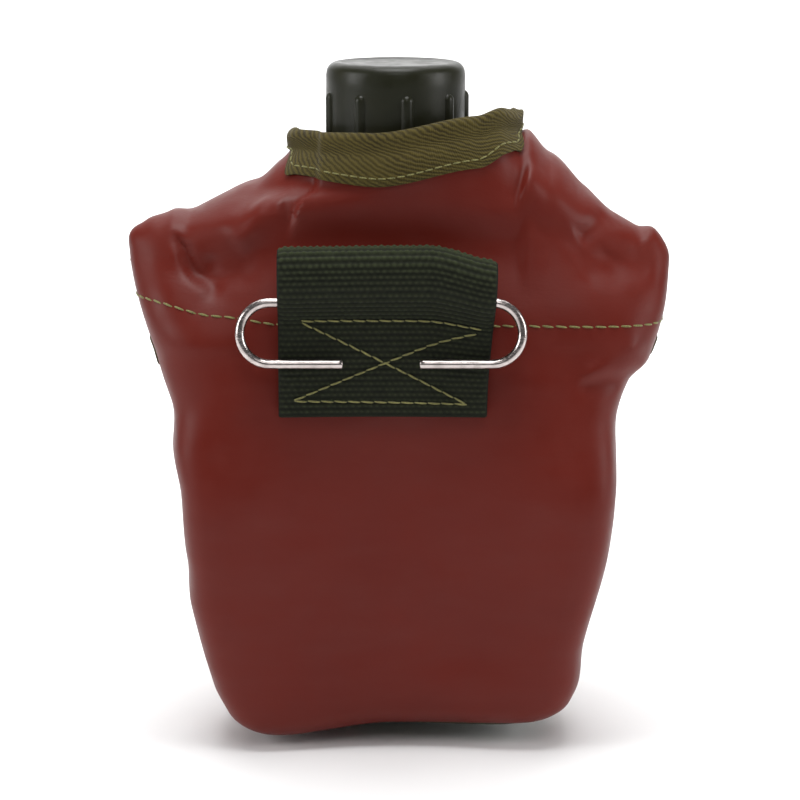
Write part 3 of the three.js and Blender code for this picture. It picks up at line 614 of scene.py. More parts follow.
@dataclass(frozen=True)
class MouldedPlastic:
    """Moulded plastic with a faint orange-peel skin and handling scuffs.

    Attributes:
        name: The material's name.
        tone: Its colour.
        scuff: The colour of its rubbed patches.
        roughness: How matt it is.
    """

    name: str
    tone: tuple[float, float, float, float]
    scuff: tuple[float, float, float, float]
    roughness: float

    def material(self) -> Finish:
        """Builds the material."""
        s = NodeSketch(self.name)
        place = s.body()
        patch = s.noise(place, 0.09, 4)
        base = s.blend(s.fit(patch, 0.45, 0.75, 0, 0.6), self.tone, self.scuff)
        rough = s.fit(s.noise(place, 0.25, 3), 0.3, 0.7, self.roughness - 0.06, self.roughness + 0.08)
        skin = s.bump(s.noise(place, 1.6, 2), 0.12, 0.1)
        return s.done(Base_Color=base, Roughness=rough, Normal=skin, Specular_IOR_Level=0.25)


@dataclass(frozen=True)
class DrawnMetal:
    """Bare metal with fine draw marks along it.

    Attributes:
        name: The material's name.
        tone: Its colour.
        tarnish: The colour of its duller patches.
        roughness: How matt it is.
        stretch: Lumps of the marks along each axis.
    """

    name: str
    tone: tuple[float, float, float, float]
    tarnish: tuple[float, float, float, float]
    roughness: float
    stretch: tuple[float, float, float] = (0.05, 1, 1)

    def material(self) -> Finish:
        """Builds the material."""
        s = NodeSketch(self.name)
        place = s.body()
        marks = s.noise(place, 3.2, 3, self.stretch)
        base = s.blend(s.fit(s.noise(place, 0.3, 3), 0.45, 0.75, 0, 0.7), self.tone, self.tarnish)
        rough = s.fit(marks, 0.3, 0.7, self.roughness - 0.07, self.roughness + 0.12)
        return s.done(Base_Color=base, Metallic=1.0, Roughness=rough, Normal=s.bump(marks, 0.15, 0.06))


@dataclass(frozen=True)
class Thread:
    """Twisted sewing thread."""

    dark: tuple[float, float, float, float] = colour(84, 82, 38)
    light: tuple[float, float, float, float] = colour(138, 134, 72)

    def material(self) -> Finish:
        """Builds the material."""
        s = NodeSketch("thread")
        strands = s.noise(s.body(), 3.5, 3)
        base = s.blend(s.fit(strands, 0.35, 0.65, 0, 1), self.dark, self.light)
        return s.done(Base_Color=base, Roughness=0.7, Normal=s.bump(strands, 0.6, 0.12), Sheen_Weight=0.2)


@dataclass(frozen=True)
class Rubber:
    """Soft black rubber with a bloom."""

    def material(self) -> Finish:
        """Builds the material."""
        s = NodeSketch("liner_rubber")
        bloom = s.noise(s.body(), 0.5, 4)
        base = s.blend(s.fit(bloom, 0.4, 0.8, 0, 1), colour(24, 24, 23), colour(52, 51, 48))
        return s.done(Base_Color=base, Roughness=0.75, Normal=s.bump(bloom, 0.3, 0.2))


# ------------------------------------------------------------------ how the leather has set
class Side(Enum):
    """The two shoulders, as seen looking along +Y."""

    LEFT = "left"
    RIGHT = "right"

    @property
    def sign(self) -> int:
        """-1 on the left and 1 on the right."""
        return -1 if self is Side.LEFT else 1


@dataclass(frozen=True)
class Fold:
    """A crease or a ridge along a line on the back of the cover.

    Attributes:
        line: Corners of the line, as (x, height).
        lift: How far the leather stands out along it; below zero it is a crease.
        width: Distance at which it has mostly faded.
        step: How much more the side to the right of the line, going along it, stands out.
    """

    line: Steps
    lift: float
    width: float
    step: float = 0.0

    def height(self, x: Array, z: Array) -> Array:
        """How far the fold lifts the leather at each place."""
        best = np.full(x.shape, 1e9)
        across = np.zeros(x.shape)
        along = np.zeros(x.shape)
        total = len(self.line) - 1
        for k, ((x0, z0), (x1, z1)) in enumerate(zip(self.line, self.line[1:])):
            dx, dz = x1 - x0, z1 - z0
            t = np.clip(((x - x0) * dx + (z - z0) * dz) / (dx * dx + dz * dz), 0, 1)
            away_x, away_z = x - x0 - t * dx, z - z0 - t * dz
            distance = np.hypot(away_x, away_z)
            near = distance < best
            best = np.where(near, distance, best)
            across = np.where(near, (away_x * dz - away_z * dx) / math.hypot(dx, dz), across)
            along = np.where(near, (k + t) / total, along)
        ends = smooth(np.minimum(along, 1 - along) * 5 + 0.15)
        shape = self.lift * np.exp(-((best / self.width) ** 2)) * ends
        if self.step:
            side = smooth(across / 1.6 + 0.5) * np.exp(-((np.maximum(across, 0) / 14.0) ** 2))
            shape = shape + self.step * side * smooth((1 - along) * 1.6) * (best < 60)
        return shape


@dataclass(frozen=True)
class Dent:
    """A soft hollow, or a swelling where its depth is below zero."""

    x: float
    z: float
    wide: float
    tall: float
    depth: float

    def height(self, x: Array, z: Array) -> Array:
        """How far the dent lifts the leather at each place."""
        return -self.depth * hump(x, self.x, self.wide) * hump(z, self.z, self.tall)


@dataclass
class LivedInShape:
    """Moves the even form of the cover to how this one hangs, without moving its layers apart.

    Attributes:
        folds: Creases and ridges of the back.
        dents: Hollows and swellings of the back.
        left_out: How far the left side stands out from the even form, by height.
        crest_lift: How far the crest between ear and collar stands above it, by x.
        right_out: How far the right side stands out, by height.
        base_rise: How far the bottom edge is drawn up, by x.
        collar_tilt: How far the collar's top edge stands above it, by x.
    """

    folds: tuple[Fold, ...] = (
        Fold(((-60.0, 144.5), (-57.5, 138.0), (-53.0, 129.5), (-48.5, 126.5)), -1.6, 2.2),
        Fold(((-61.5, 141.0), (-57.0, 131.0), (-52.0, 126.5)), 0.9, 2.6),
        Fold(((-51.0, 141.0), (-52.0, 134.0), (-49.0, 130.0)), -0.7, 2.5),
        Fold(((-45.0, 143.0), (-36.5, 148.5), (-30.0, 151.0)), 1.1, 4.5),
        Fold(((-24.6, 166.0), (-25.2, 156.0), (-27.2, 147.0), (-29.5, 139.0)), 0.0, 1.0, -3.4),
        Fold(((57.5, 149.5), (53.5, 144.5), (50.0, 141.0)), -1.5, 2.6),
        Fold(((60.0, 140.0), (56.0, 135.0), (49.0, 131.0)), -0.6, 3.5),
        Fold(((66.0, 106.5), (60.0, 104.0), (50.0, 103.0)), -1.2, 3.0),
        Fold(((66.0, 112.0), (56.0, 110.0), (50.0, 104.0)), 1.2, 3.5),
    )
    dents: tuple[Dent, ...] = (
        Dent(-50.0, 130.0, 8.0, 8.0, 1.6),
        Dent(-66.0, 134.0, 7.0, 12.0, -1.2),
        Dent(47.0, 128.5, 8.0, 8.0, -0.9),
        Dent(-57.0, 113.0, 9.0, 7.0, -1.3),
        Dent(-60.0, 98.0, 8.0, 7.0, 1.4),
        Dent(-50.0, 60.0, 14.0, 26.0, -0.8),
        Dent(54.0, 66.0, 12.0, 30.0, -0.6),
        Dent(20.0, 30.0, 30.0, 16.0, 0.9),
        Dent(-20.0, 50.0, 24.0, 20.0, -0.7),
        Dent(48.0, 20.0, 10.0, 12.0, 0.8),
    )
    left_out: Steps = (
        (0.0, -2.4), (16.0, 0.2), (40.0, 0.5), (54.0, -1.2), (72.0, -2.2), (85.0, -0.2), (97.0, -1.2),
        (110.0, -2.8), (139.5, -1.2),
    )
    crest_lift: Steps = (
        (-75.0, 1.8), (-69.0, 0.2), (-62.0, -1.4), (-56.0, -4.3), (-50.0, -4.3), (-43.0, -3.6), (-36.0, -1.0),
        (-31.0, 0.0), (32.0, 0.0), (36.0, 6.0), (42.0, 3.0), (52.0, -1.0), (60.0, -3.0), (66.0, -3.0),
        (72.0, 0.0),
    )
    right_out: Steps = (
        (0.0, -0.4), (12.0, 1.0), (30.0, -1.4), (55.0, -0.2), (82.0, -0.8), (94.0, -1.2), (102.0, -1.4),
        (108.0, 1.6), (120.0, 1.6), (134.0, 0.8), (139.5, -0.8),
    )

    base_rise: Steps = ((-52.0, 3.0), (-34.0, 2.2), (0.0, 5.0), (34.0, 5.5), (50.0, 6.0))
    collar_tilt: Steps = ((-36.0, -4.2), (-10.0, -3.4), (20.0, 0.8), (27.0, 2.4), (31.0, 1.4), (36.0, -3.0))

    def back_height(self, x: Array, z: Array) -> Array:
        """How far the back leather stands off its even form."""
        total = sum(mark.height(x, z) for mark in self.folds) + sum(mark.height(x, z) for mark in self.dents)
        place = np.stack([x, 0 * x, z], axis=-1)
        slack = value_noise(place, (34, 20, 22), 3) * 0.55 + value_noise(place, (13, 20, 9), 5) * 0.16
        return total + slack

    def move(self, points: Array) -> Array:
        """The same points on the lived-in cover.

        Args:
            points: Places on or near the even cover, with three coordinates last.

        Returns:
            The moved places.
        """
        p = np.array(points, float)
        x, y, z = p[..., 0].copy(), p[..., 1].copy(), p[..., 2].copy()
        is_back = smooth((-y - 2) / 12)
        is_front = smooth((y - 4) / 12)
        p[..., 1] -= self.back_height(x, z) * is_back
        place = np.stack([x, 0 * x + 40, z], axis=-1)
        p[..., 1] += (value_noise(place, (30, 20, 24), 11) * 0.6) * is_front
        reach = smooth((np.abs(x) - 18) / 34)
        below_ears = 1 - smooth((z - EAR_Z) / 6)
        p[..., 0] -= eased(z, self.left_out) * reach * (x < 0) * below_ears
        p[..., 0] += eased(z, self.right_out) * reach * (x > 0) * below_ears
        sag = eased(x, self.base_rise)
        p[..., 2] += sag * (1 - smooth(z / 30))
        p[..., 2] += eased(x, self.crest_lift) * smooth((z - 126) / 12)
        high = smooth((z - 148) / 12)
        p[..., 0] += (2.6 - 0.045 * x) * high
        tilt = eased(x, self.collar_tilt)
        p[..., 2] += tilt * smooth((z - 150) / 10) * (1 - smooth((np.abs(x) - 36) / 14))
        return p


# ------------------------------------------------------------------ dressing helpers
CAP_PLASTIC = MouldedPlastic("cap_plastic", colour(31, 32, 20), colour(44, 43, 30), 0.34)
BOTTLE_PLASTIC = MouldedPlastic("bottle_plastic", colour(58, 62, 44), colour(76, 78, 58), 0.5)
WIRE_STEEL = DrawnMetal("wire_steel", colour(204, 194, 191), colour(150, 140, 136), 0.2)
SNAP_METAL = DrawnMetal("snap_metal", colour(112, 104, 74), colour(58, 54, 40), 0.34, (1, 1, 1))


@dataclass
class Looks:
    """Every finish, made once."""

    leather: Finish = field(default_factory=lambda: Leatherette().material())
    tape: Finish = field(default_factory=lambda: TwillTape().material())
    webbing: Finish = field(default_factory=lambda: Webbing().material())
    pile: Finish = field(default_factory=lambda: Pile().material())
    thread: Finish = field(default_factory=lambda: Thread().material())
    rubber: Finish = field(default_factory=lambda: Rubber().material())
    cap: Finish = field(default_factory=lambda: CAP_PLASTIC.material())
    bottle: Finish = field(default_factory=lambda: BOTTLE_PLASTIC.material())
    steel: Finish = field(default_factory=lambda: WIRE_STEEL.material())
    brass: Finish = field(default_factory=lambda: SNAP_METAL.material())


def dressed(piece: Piece, finish: Finish, slot: str, body: str = "root") -> Piece:
    """Gives a piece its finish and the body it rides on, and logs its finish's record name.

    Args:
        piece: The piece.
        finish: Its material.
        slot: The record's name for that finish.
        body: The body it moves with; empty for a piece that rides on no body.

    Returns:
        The piece.
    """
    piece.data.materials.clear()
    piece.data.materials.append(finish)
    if body:
        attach(piece, body)
    log.info("%s: %s, on %s", piece.name, slot, body or "two bodies")
    return piece


def lengths_along(grid: Array, axis: int) -> Array:
    """Distance travelled along one axis of a grid of points, from its middle."""
    steps = np.linalg.norm(np.diff(grid, axis=axis), axis=-1)
    pad = [(1, 0), (0, 0)] if axis == 0 else [(0, 0), (1, 0)]
    total = np.pad(np.cumsum(steps, axis=axis), pad)
    middle = total.shape[axis] // 2
    return total - np.take(total, [middle], axis=axis)


def laid_flat(grid: Array) -> Array:
    """A grid of points unrolled onto the plane, close enough for a weave."""
    return np.stack([lengths_along(grid, 1), lengths_along(grid, 0)], axis=-1)


def run_of(path: Array) -> Array:
    """The length along a path at each of its points."""
    return np.concatenate([[0], np.cumsum(np.linalg.norm(np.diff(path, axis=0), axis=1))])


def even_points(path: Array, step: float) -> Array:
    """A path's points at even steps."""
    lengths = run_of(path)
    count = max(int(round(lengths[-1] / step)), 1)
    want = np.linspace(0, lengths[-1], count + 1)
    return np.column_stack([np.interp(want, lengths, path[:, k]) for k in range(3)])


@dataclass(frozen=True)
class Seam:
    """A row of stitches in thick thread.

    Attributes:
        pitch: Length of one stitch with its gap.
        radius: Of the thread.
        slant: How far a stitch's ends lie to either side of the row.
    """

    pitch: float = 3.6
    radius: float = 0.3
    slant: float = 0.16

    def sew(self, path: Array, out: Array) -> Piece:
        """Makes the stitches.

        Args:
            path: Points of the row, on the surface.
            out: The surface's outward direction at each of them.

        Returns:
            One piece with all the stitches.
        """
        points = even_points(path, self.pitch)
        vertices, faces = [], []
        sides, rings = 6, 7
        for k in range(len(points) - 1):
            start, end = points[k], points[k + 1]
            middle = (start + end) / 2
            nearest = int(np.argmin(np.linalg.norm(path - middle, axis=1)))
            normal = out[nearest] / np.linalg.norm(out[nearest])
            along = (end - start) / np.linalg.norm(end - start)
            side = np.cross(along, normal)
            wave = 0.5 + 0.5 * math.sin(12.9898 * (k + 1))
            first = len(vertices)
            for i in range(rings):
                t = i / (rings - 1)
                inner = start + (end - start) * (0.04 + 0.92 * t)
                hold = inner + side * (self.slant * (2 * t - 1) * (0.6 + 0.6 * wave))
                arch = math.sin(math.pi * t) ** 0.6
                centre = hold + normal * (self.radius * (1.3 * arch - 0.9))
                size = self.radius * (0.55 + 0.45 * arch)
                for j in range(sides):
                    a = j / sides * 2 * math.pi
                    vertices.append(centre + size * (math.cos(a) * normal + math.sin(a) * side))
            faces += grid_faces(rings, sides, first, True)
            faces.append(tuple(range(first + sides - 1, first - 1, -1)))
            last = first + (rings - 1) * sides
            faces.append(tuple(range(last, last + sides)))
        return outward(new_piece("stitches", np.array(vertices), faces))


# ------------------------------------------------------------------ the cover
@dataclass
class Cover:
    """The leatherette cover: back and front panels, base, shoulder flaps, linings, tapes and seams."""

    looks: Looks
    form: KidneyForm = field(default_factory=cover_form)
    shape: LivedInShape = field(default_factory=LivedInShape)
    leather: float = 1.6
    gap: float = 0.3
    lining: float = 1.8
    seam_gap: float = 0.4
    tape: float = 1.0
    run_gap: float = 0.5
    cell: float = 1.15
    collar_leg: float = 12.4
    front_leg: float = 7.5
    flap_leg: float = 6.0
    flap_bottom: float = 84.0
    flap_lift: float = 5.8
    tongue_round: float = 18.0

    def rows(self, low: float, high: float, cell: float | None = None) -> Array:
        """Heights at even steps along the form's outline between two heights."""
        table = self.form.curve()
        inside = table[(table[:, 0] > low) & (table[:, 0] < high)]
        z = np.concatenate([[low], inside[:, 0], [high]])
        a = np.interp(z, table[:, 0], table[:, 1])
        length = np.concatenate([[0], np.cumsum(np.hypot(np.diff(z), np.diff(a)))])
        count = int(length[-1] / (cell or self.cell)) + 1
        return np.interp(np.linspace(0, length[-1], count + 1), length, z)

    def angles(self, start: float, end: float, z: float = 94.0, cell: float | None = None) -> Array:
        """Angles at even steps round the section at a height."""
        psi = np.linspace(start, end, 721)
        p = self.form.at(psi, np.full(psi.shape, z))
        length = run_of(p)
        count = int(length[-1] / (cell or self.cell)) + 1
        return np.interp(np.linspace(0, length[-1], count + 1), length, psi)

    def place(self, psi: Array, z: Array, depth: float | Array) -> Array:
        """Points at a depth under the cover's face, as it hangs."""
        base = self.form.at(psi, z) - self.form.normal(psi, z) * np.asarray(depth)[..., None]
        back = np.sin(psi) < 0
        base[..., 1] += np.where(back, -0.5, 0.5) * self.seam_gap
        return self.shape.move(base)

    def sheet(self, name: str, psi: Array, z: Array, depth: float, thickness: float) -> Piece:
        """A sheet over part of the form, from a depth under its face."""
        p, h = np.meshgrid(psi, z)
        outer = self.place(p, h, np.full(p.shape, depth))
        inner = self.place(p, h, np.full(p.shape, depth + thickness))
        return sharpen(sheet_piece(name, outer, inner, laid_flat(outer)))

    def back_panel(self) -> Piece:
        """The back, from the bottom edge up to the collar."""
        psi = self.angles(-math.pi + 1e-4, -1e-4)
        return self.sheet("back_panel", psi, self.rows(0, COLLAR_TOP), 0, self.leather)

    def front_panel(self) -> Piece:
        """The front, up to its taped edge behind the flaps."""
        psi = self.angles(1e-4, math.pi - 1e-4)
        return self.sheet("front_panel", psi, self.rows(0, FRONT_TOP), 0, self.leather)

    def lining_sheet(self, name: str, is_back: bool) -> Piece:
        """The pile behind one panel, with its tufted face inwards."""
        start = -math.pi if is_back else 0.0
        psi = self.angles(start + 1e-3, start + math.pi - 1e-3, cell=1.6)
        z = self.rows(0, FRONT_TOP - 5.6, 1.6)
        p, h = np.meshgrid(psi, z)
        top = self.leather + self.gap
        outer = self.place(p, h, np.full(p.shape, top))
        tufts = value_noise(outer, (1.9, 1.9, 1.9), 21) * 0.25
        inner = self.place(p, h, top + self.lining - 0.25 + tufts)
        return sheet_piece(name, outer, inner, laid_flat(outer))

    def base_disc(self, name: str, low: float, high: float, inset: float) -> Piece:
        """A flat panel inside the rounded bottom edge."""
        around = 144
        psi = np.arange(around) / around * 2 * math.pi + 1e-3
        rim = self.form.at(psi, np.zeros(around))
        reach = np.linalg.norm(rim[:, :2], axis=1, keepdims=True)
        rim[:, :2] *= (reach - inset) / reach
        rings = []
        under = ((0.02, low), (0.5, low), (0.98, low), (1, low + 0.4))
        over = ((1, high - 0.4), (0.98, high), (0.5, high), (0.02, high))
        for share, z in under + over:
            ring = rim * np.array([share, share, 0]) + np.array([0, 0, z])
            rings.append(self.shape.move(ring))
        rings = np.array(rings)
        flat = np.concatenate([rings[..., :2], 0 * rings[..., :1]], axis=-1)
        return sharpen(loft_piece(name, rings, flat))

    # ---- flaps
    def flap_edges(self, z: Array) -> tuple[Array, Array]:
        """Angles of a flap's outer and inner edge at each height, on the right side."""
        low = self.flap_bottom
        outer = ((low, 0.66), (FRONT_TOP, 0.54), (FRONT_TOP + 10, 0.42), (EAR_Z - 3, 0.06), (EAR_Z, 0.0))
        psi0 = eased(z, outer)
        psi1 = eased(z, ((low, 1.3), (EAR_Z, 1.24), (COLLAR_Z, 1.12)))
        h = np.clip((z - low) / self.tongue_round, 0.05, 1)
        wide = np.sqrt(1 - (1 - h) ** 2)
        middle = (psi0 + psi1) / 2
        return middle + (psi0 - middle) * wide, middle + (psi1 - middle) * wide

    def flap_point(self, side: Side, u: Array, z: Array, depth: Array | float) -> Array:
        """Points of a flap: u runs from its outer to its inner edge."""
        u, z, depth = np.broadcast_arrays(*(np.asarray(value, float) for value in (u, z, depth)))
        psi0, psi1 = self.flap_edges(z)
        angle = psi0 + (psi1 - psi0) * u
        psi = angle if side is Side.RIGHT else math.pi - angle
        lift = eased(z, ((FRONT_TOP, self.flap_lift), (EAR_Z, 0.0)))
        lift = lift * (0.3 + 0.7 * smooth((angle - psi0) / 0.35))
        base = self.form.at(psi, z) + self.form.normal(psi, z) * (lift - depth)[..., None]
        crest = 1 - smooth(angle / 0.15) * 1.0
        crest = crest * smooth((z - EAR_Z + 6) / 6)
        base[..., 1] += self.run_gap - (self.run_gap + self.seam_gap / 2) * crest
        return self.shape.move(base)

    def flap_blend(self, piece: Piece) -> None:
        """Bakes a flap piece's placing into its mesh."""
        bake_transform(piece)

    def flap(self, side: Side) -> Piece:
        """One shoulder flap, from the crest down to its tongue."""
        u = np.linspace(0, 1, 46)
        low = self.flap_bottom
        tongue = low + self.tongue_round * np.linspace(0, 1, 22)[:-1] ** 1.6
        z = np.concatenate([tongue, self.rows(low + self.tongue_round, COLLAR_Z - self.run_gap)])
        uu, zz = np.meshgrid(u, z)
        outer = self.flap_point(side, uu, zz, 0.0)
        inner = self.flap_point(side, uu, zz, self.leather)
        return sharpen(sheet_piece(side.value + "_flap_leather", outer, inner, laid_flat(outer)))

    # ---- tapes
    def tape_section(self, leg_out: float, leg_in: float, gap: float) -> Outline:
        """The folded tape's outline as (beyond the edge, depth under the face)."""
        face, back = -gap - self.tape / 2, self.leather + gap + self.tape / 2
        middle, turn = (face + back) / 2, (back - face) / 2
        centre = [(-leg_out * t, face) for t in np.linspace(1, 0.06, 12)]
        lips = [(turn * math.sin(a), middle - turn * math.cos(a)) for a in np.linspace(0, math.pi, 9)]
        centre += [(o * 0.8 + 0.2, d) for o, d in lips]
        centre += [(-leg_in * t, back) for t in np.linspace(0.1, 1, 8)]
        path = np.array(centre)
        along = np.gradient(path, axis=0)
        along /= np.linalg.norm(along, axis=1, keepdims=True)
        side = np.column_stack([-along[:, 1], along[:, 0]])
        half = self.tape / 2
        thin = np.ones(len(path))
        thin[0] = thin[-1] = 0.55
        one = path + side * half * thin[:, None]
        two = path - side * half * thin[:, None]
        return [tuple(p) for p in np.concatenate([one, two[::-1]])]

    def tape_piece(self, name: str, section: Outline, at: Callable[[float, float], Array]) -> Piece:
        """Sweeps the tape's section along an edge.

        Args:
            name: The piece's name.
            section: The folded outline.
            at: Gives the whole edge's points for one place of the section.

        Returns:
            The tape.
        """
        rings = np.stack([at(out, depth) for out, depth in section], axis=1)
        along = lengths_along(rings.mean(axis=1)[:, None, :], 0)[:, 0]
        path = np.array(section)
        half = len(path) // 2
        up = run_of(path[:half])
        across = np.concatenate([up, up[::-1]])
        flat = np.zeros(rings.shape)
        flat[..., 0] = along[:, None]
        flat[..., 1] = across[None, :]
        return sharpen(loft_piece(name, rings, flat), 60)

    def edge_tape(self, name: str, is_back: bool, z: float, leg: float, leg_in: float) -> Piece:
        """The tape over a panel's top edge."""
        start = -math.pi if is_back else 0.0
        psi = self.angles(start + 1e-4, start + math.pi - 1e-4, cell=1.0)
        share = self.leg_share(psi) if is_back else np.ones(psi.shape)

        def at(out: float, depth: float) -> Array:
            """The edge's points at one place of the section."""
            base = self.place(psi, z + min(out, 0) * share, np.full(psi.shape, depth))
            return base + np.array([0, 0, max(out, 0)])

        return self.tape_piece(name, self.tape_section(leg, leg_in, self.gap), at)

    def leg_share(self, psi: Array) -> Array:
        """How far down the collar's tape reaches, as a share of its full leg: less towards its ends."""
        steps = ((-1.0, 0.3), (-0.8, 0.78), (-0.1, 1.0), (0.5, 0.95), (0.82, 0.68), (1.0, 0.34))
        return eased(np.cos(psi), steps)

    def flap_rim(self) -> tuple[Array, Array]:
        """The taped edge of a flap as u and height: down its outer edge, round and up its inner one."""
        low = self.flap_bottom
        high, step = low + self.tongue_round, 1.2
        turn = low + self.tongue_round * np.linspace(0, 1, 16) ** 1.8
        outer = np.concatenate([np.arange(EAR_Z - 7, high, -step), turn[::-1]])
        inner = np.concatenate([turn, np.arange(high + step, COLLAR_Z - 1, step)])
        bottom = np.linspace(0, 1, 8)[1:-1]
        u = np.concatenate([0 * outer, bottom, 0 * inner + 1])
        z = np.concatenate([outer, 0 * bottom + low, inner])
        return u, z

    def flap_tape(self, side: Side) -> Piece:
        """The tape round a flap's free edges."""
        u, z = self.flap_rim()
        here = self.flap_point(side, u, z, 0.0)
        through = self.flap_point(side, u, z, self.leather) - here
        through /= np.linalg.norm(through, axis=1, keepdims=True)
        along = np.gradient(here, axis=0)
        beyond = np.cross(along, through) * -side.sign
        beyond /= np.linalg.norm(beyond, axis=1, keepdims=True)
        even = np.ones(7) / 7
        beyond = np.column_stack([np.convolve(np.pad(c, 3, "edge"), even, "valid") for c in beyond.T])
        beyond /= np.linalg.norm(beyond, axis=1, keepdims=True)
        at_tip = 1 - smooth((z - self.flap_bottom - 1.5) / 3)

        def at(out: float, depth: float) -> Array:
            """The rim's points at one place of the section."""
            base = self.flap_point(side, u, z, depth)
            if out >= 0:
                return base + beyond * out
            middle_u = np.clip(u - np.sign(u - 0.5) * 0.02, 0, 1)
            step = np.where(middle_u == u, 1, middle_u - u)[:, None]
            du = (self.flap_point(side, middle_u, z, 0.0) - here) / step
            dz = (self.flap_point(side, u, z + 0.5, 0.0) - here) / 0.5
            want = beyond * out
            a, b, c = (du * du).sum(1), (du * dz).sum(1), (dz * dz).sum(1)
            p, q = (want * du).sum(1), (want * dz).sum(1)
            det = np.maximum(a * c - b * b, 1e-6)
            bent = self.flap_point(side, u + (p * c - q * b) / det, z + (a * q - b * p) / det, depth)
            straight = here + want + through * depth
            return np.where(at_tip[:, None] >= 1, straight, bent + (straight - bent) * at_tip[:, None])

        return self.tape_piece(side.value + "_flap_tape", self.tape_section(self.flap_leg, 5.0, 0.5), at)

    # ---- seams
    def seam_row(self, psi: Array, z: Array, depth: float = 0.0) -> tuple[Array, Array]:
        """Points and outward directions of a row of stitches on the cover."""
        d = np.full(psi.shape, depth)
        path = self.place(psi, z, d)
        return path, path - self.place(psi, z, d + 1)

    def sewn(self, name: str, path: Array, out: Array, body: str = "root", seam: Seam = Seam()) -> Piece:
        """One row of stitches, dressed and riding."""
        row = seam.sew(path, out)
        row.name = name
        return dressed(row, self.looks.thread, "binding_tape", body)

    def yoke_seam(self) -> None:
        """The row that runs right across the back at the height of the webbing's seam."""
        psi = np.linspace(-math.pi + 0.03, -0.03, 400)
        x = self.form.at(psi, np.full(psi.shape, 118.0))[:, 0]
        z = eased(x, ((-72, 124.7), (-50, 121.0), (-30, 118.8), (30, 118.6), (72, 118.2)))
        self.sewn("yoke_seam", *self.seam_row(psi, z, -0.05))

    def tape_seams(self) -> None:
        """The rows that hold the tapes down, near each tape's lower edge."""
        top = -self.gap - self.tape
        psi = np.linspace(-math.pi + 0.02, -0.02, 300)
        fine = Seam(pitch=2.6, radius=0.24, slant=0.05)
        z = COLLAR_TOP - (self.collar_leg - 2.3) * self.leg_share(psi)
        self.sewn("collar_seam", *self.seam_row(psi, z, top), seam=fine)
        psi = np.linspace(0.02, math.pi - 0.02, 300)
        z = np.full(psi.shape, FRONT_TOP - self.front_leg + 1.8)
        self.sewn("front_seam", *self.seam_row(psi, z, top), seam=fine)

    def flap_seam(self, side: Side) -> None:
        """The row round a flap, just inside its tape's edge."""
        u, z = self.flap_rim()
        inset = self.flap_leg - 1.5
        keep = slice(4, -4)
        here = self.flap_point(side, u, z, 0.0)
        through = self.flap_point(side, u, z, self.leather) - here
        along = np.gradient(here, axis=0)
        inward = np.cross(along, through) * side.sign
        inward /= np.linalg.norm(inward, axis=1, keepdims=True)
        face = -through / np.linalg.norm(through, axis=1, keepdims=True)
        path = here + inward * inset + face * (0.5 + self.tape)
        fine = Seam(pitch=2.6, radius=0.24, slant=0.05)
        row = fine.sew(path[keep], face[keep])
        row.name = side.value + "_flap_seam"
        dressed(row, self.looks.thread, "binding_tape", "")
        self.flap_blend(row)

    def build(self) -> None:
        """Makes and dresses every piece of the cover."""
        looks = self.looks
        back = dressed(self.back_panel(), looks.leather, "leatherette")
        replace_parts(back, "cover_back")
        front = dressed(self.front_panel(), looks.leather, "leatherette")
        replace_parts(front, "cover_front")
        floor = dressed(self.base_disc("base_panel", 0.0, self.leather, 0.9), looks.leather, "leatherette")
        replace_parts(floor, "cover_base")
        inner = self.leather + self.gap
        pad = dressed(self.base_disc("base_pile", inner, inner + self.lining, 2.4), looks.pile, "pile")
        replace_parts(pad, "lining_base")
        for name, is_back, node in (
            ("back_pile", True, "lining_back"),
            ("front_pile", False, "lining_front"),
        ):
            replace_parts(dressed(self.lining_sheet(name, is_back), looks.pile, "pile"), node)
        collar = self.edge_tape("collar_tape", True, COLLAR_TOP, self.collar_leg, 9.0)
        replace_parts(dressed(collar, looks.tape, "binding_tape"), "collar_binding")
        edge = self.edge_tape("front_tape", False, FRONT_TOP, self.front_leg, 5.0)
        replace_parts(dressed(edge, looks.tape, "binding_tape"), "front_binding")
        for side in Side:
            leather = dressed(self.flap(side), looks.leather, "leatherette", "")
            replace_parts(leather, side.value + "_flap")
            self.flap_blend(leather)
            tape = dressed(self.flap_tape(side), looks.tape, "binding_tape", "")
            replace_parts(tape, side.value + "_flap_binding")
            self.flap_blend(tape)
            self.flap_seam(side)
        self.yoke_seam()
        self.tape_seams()


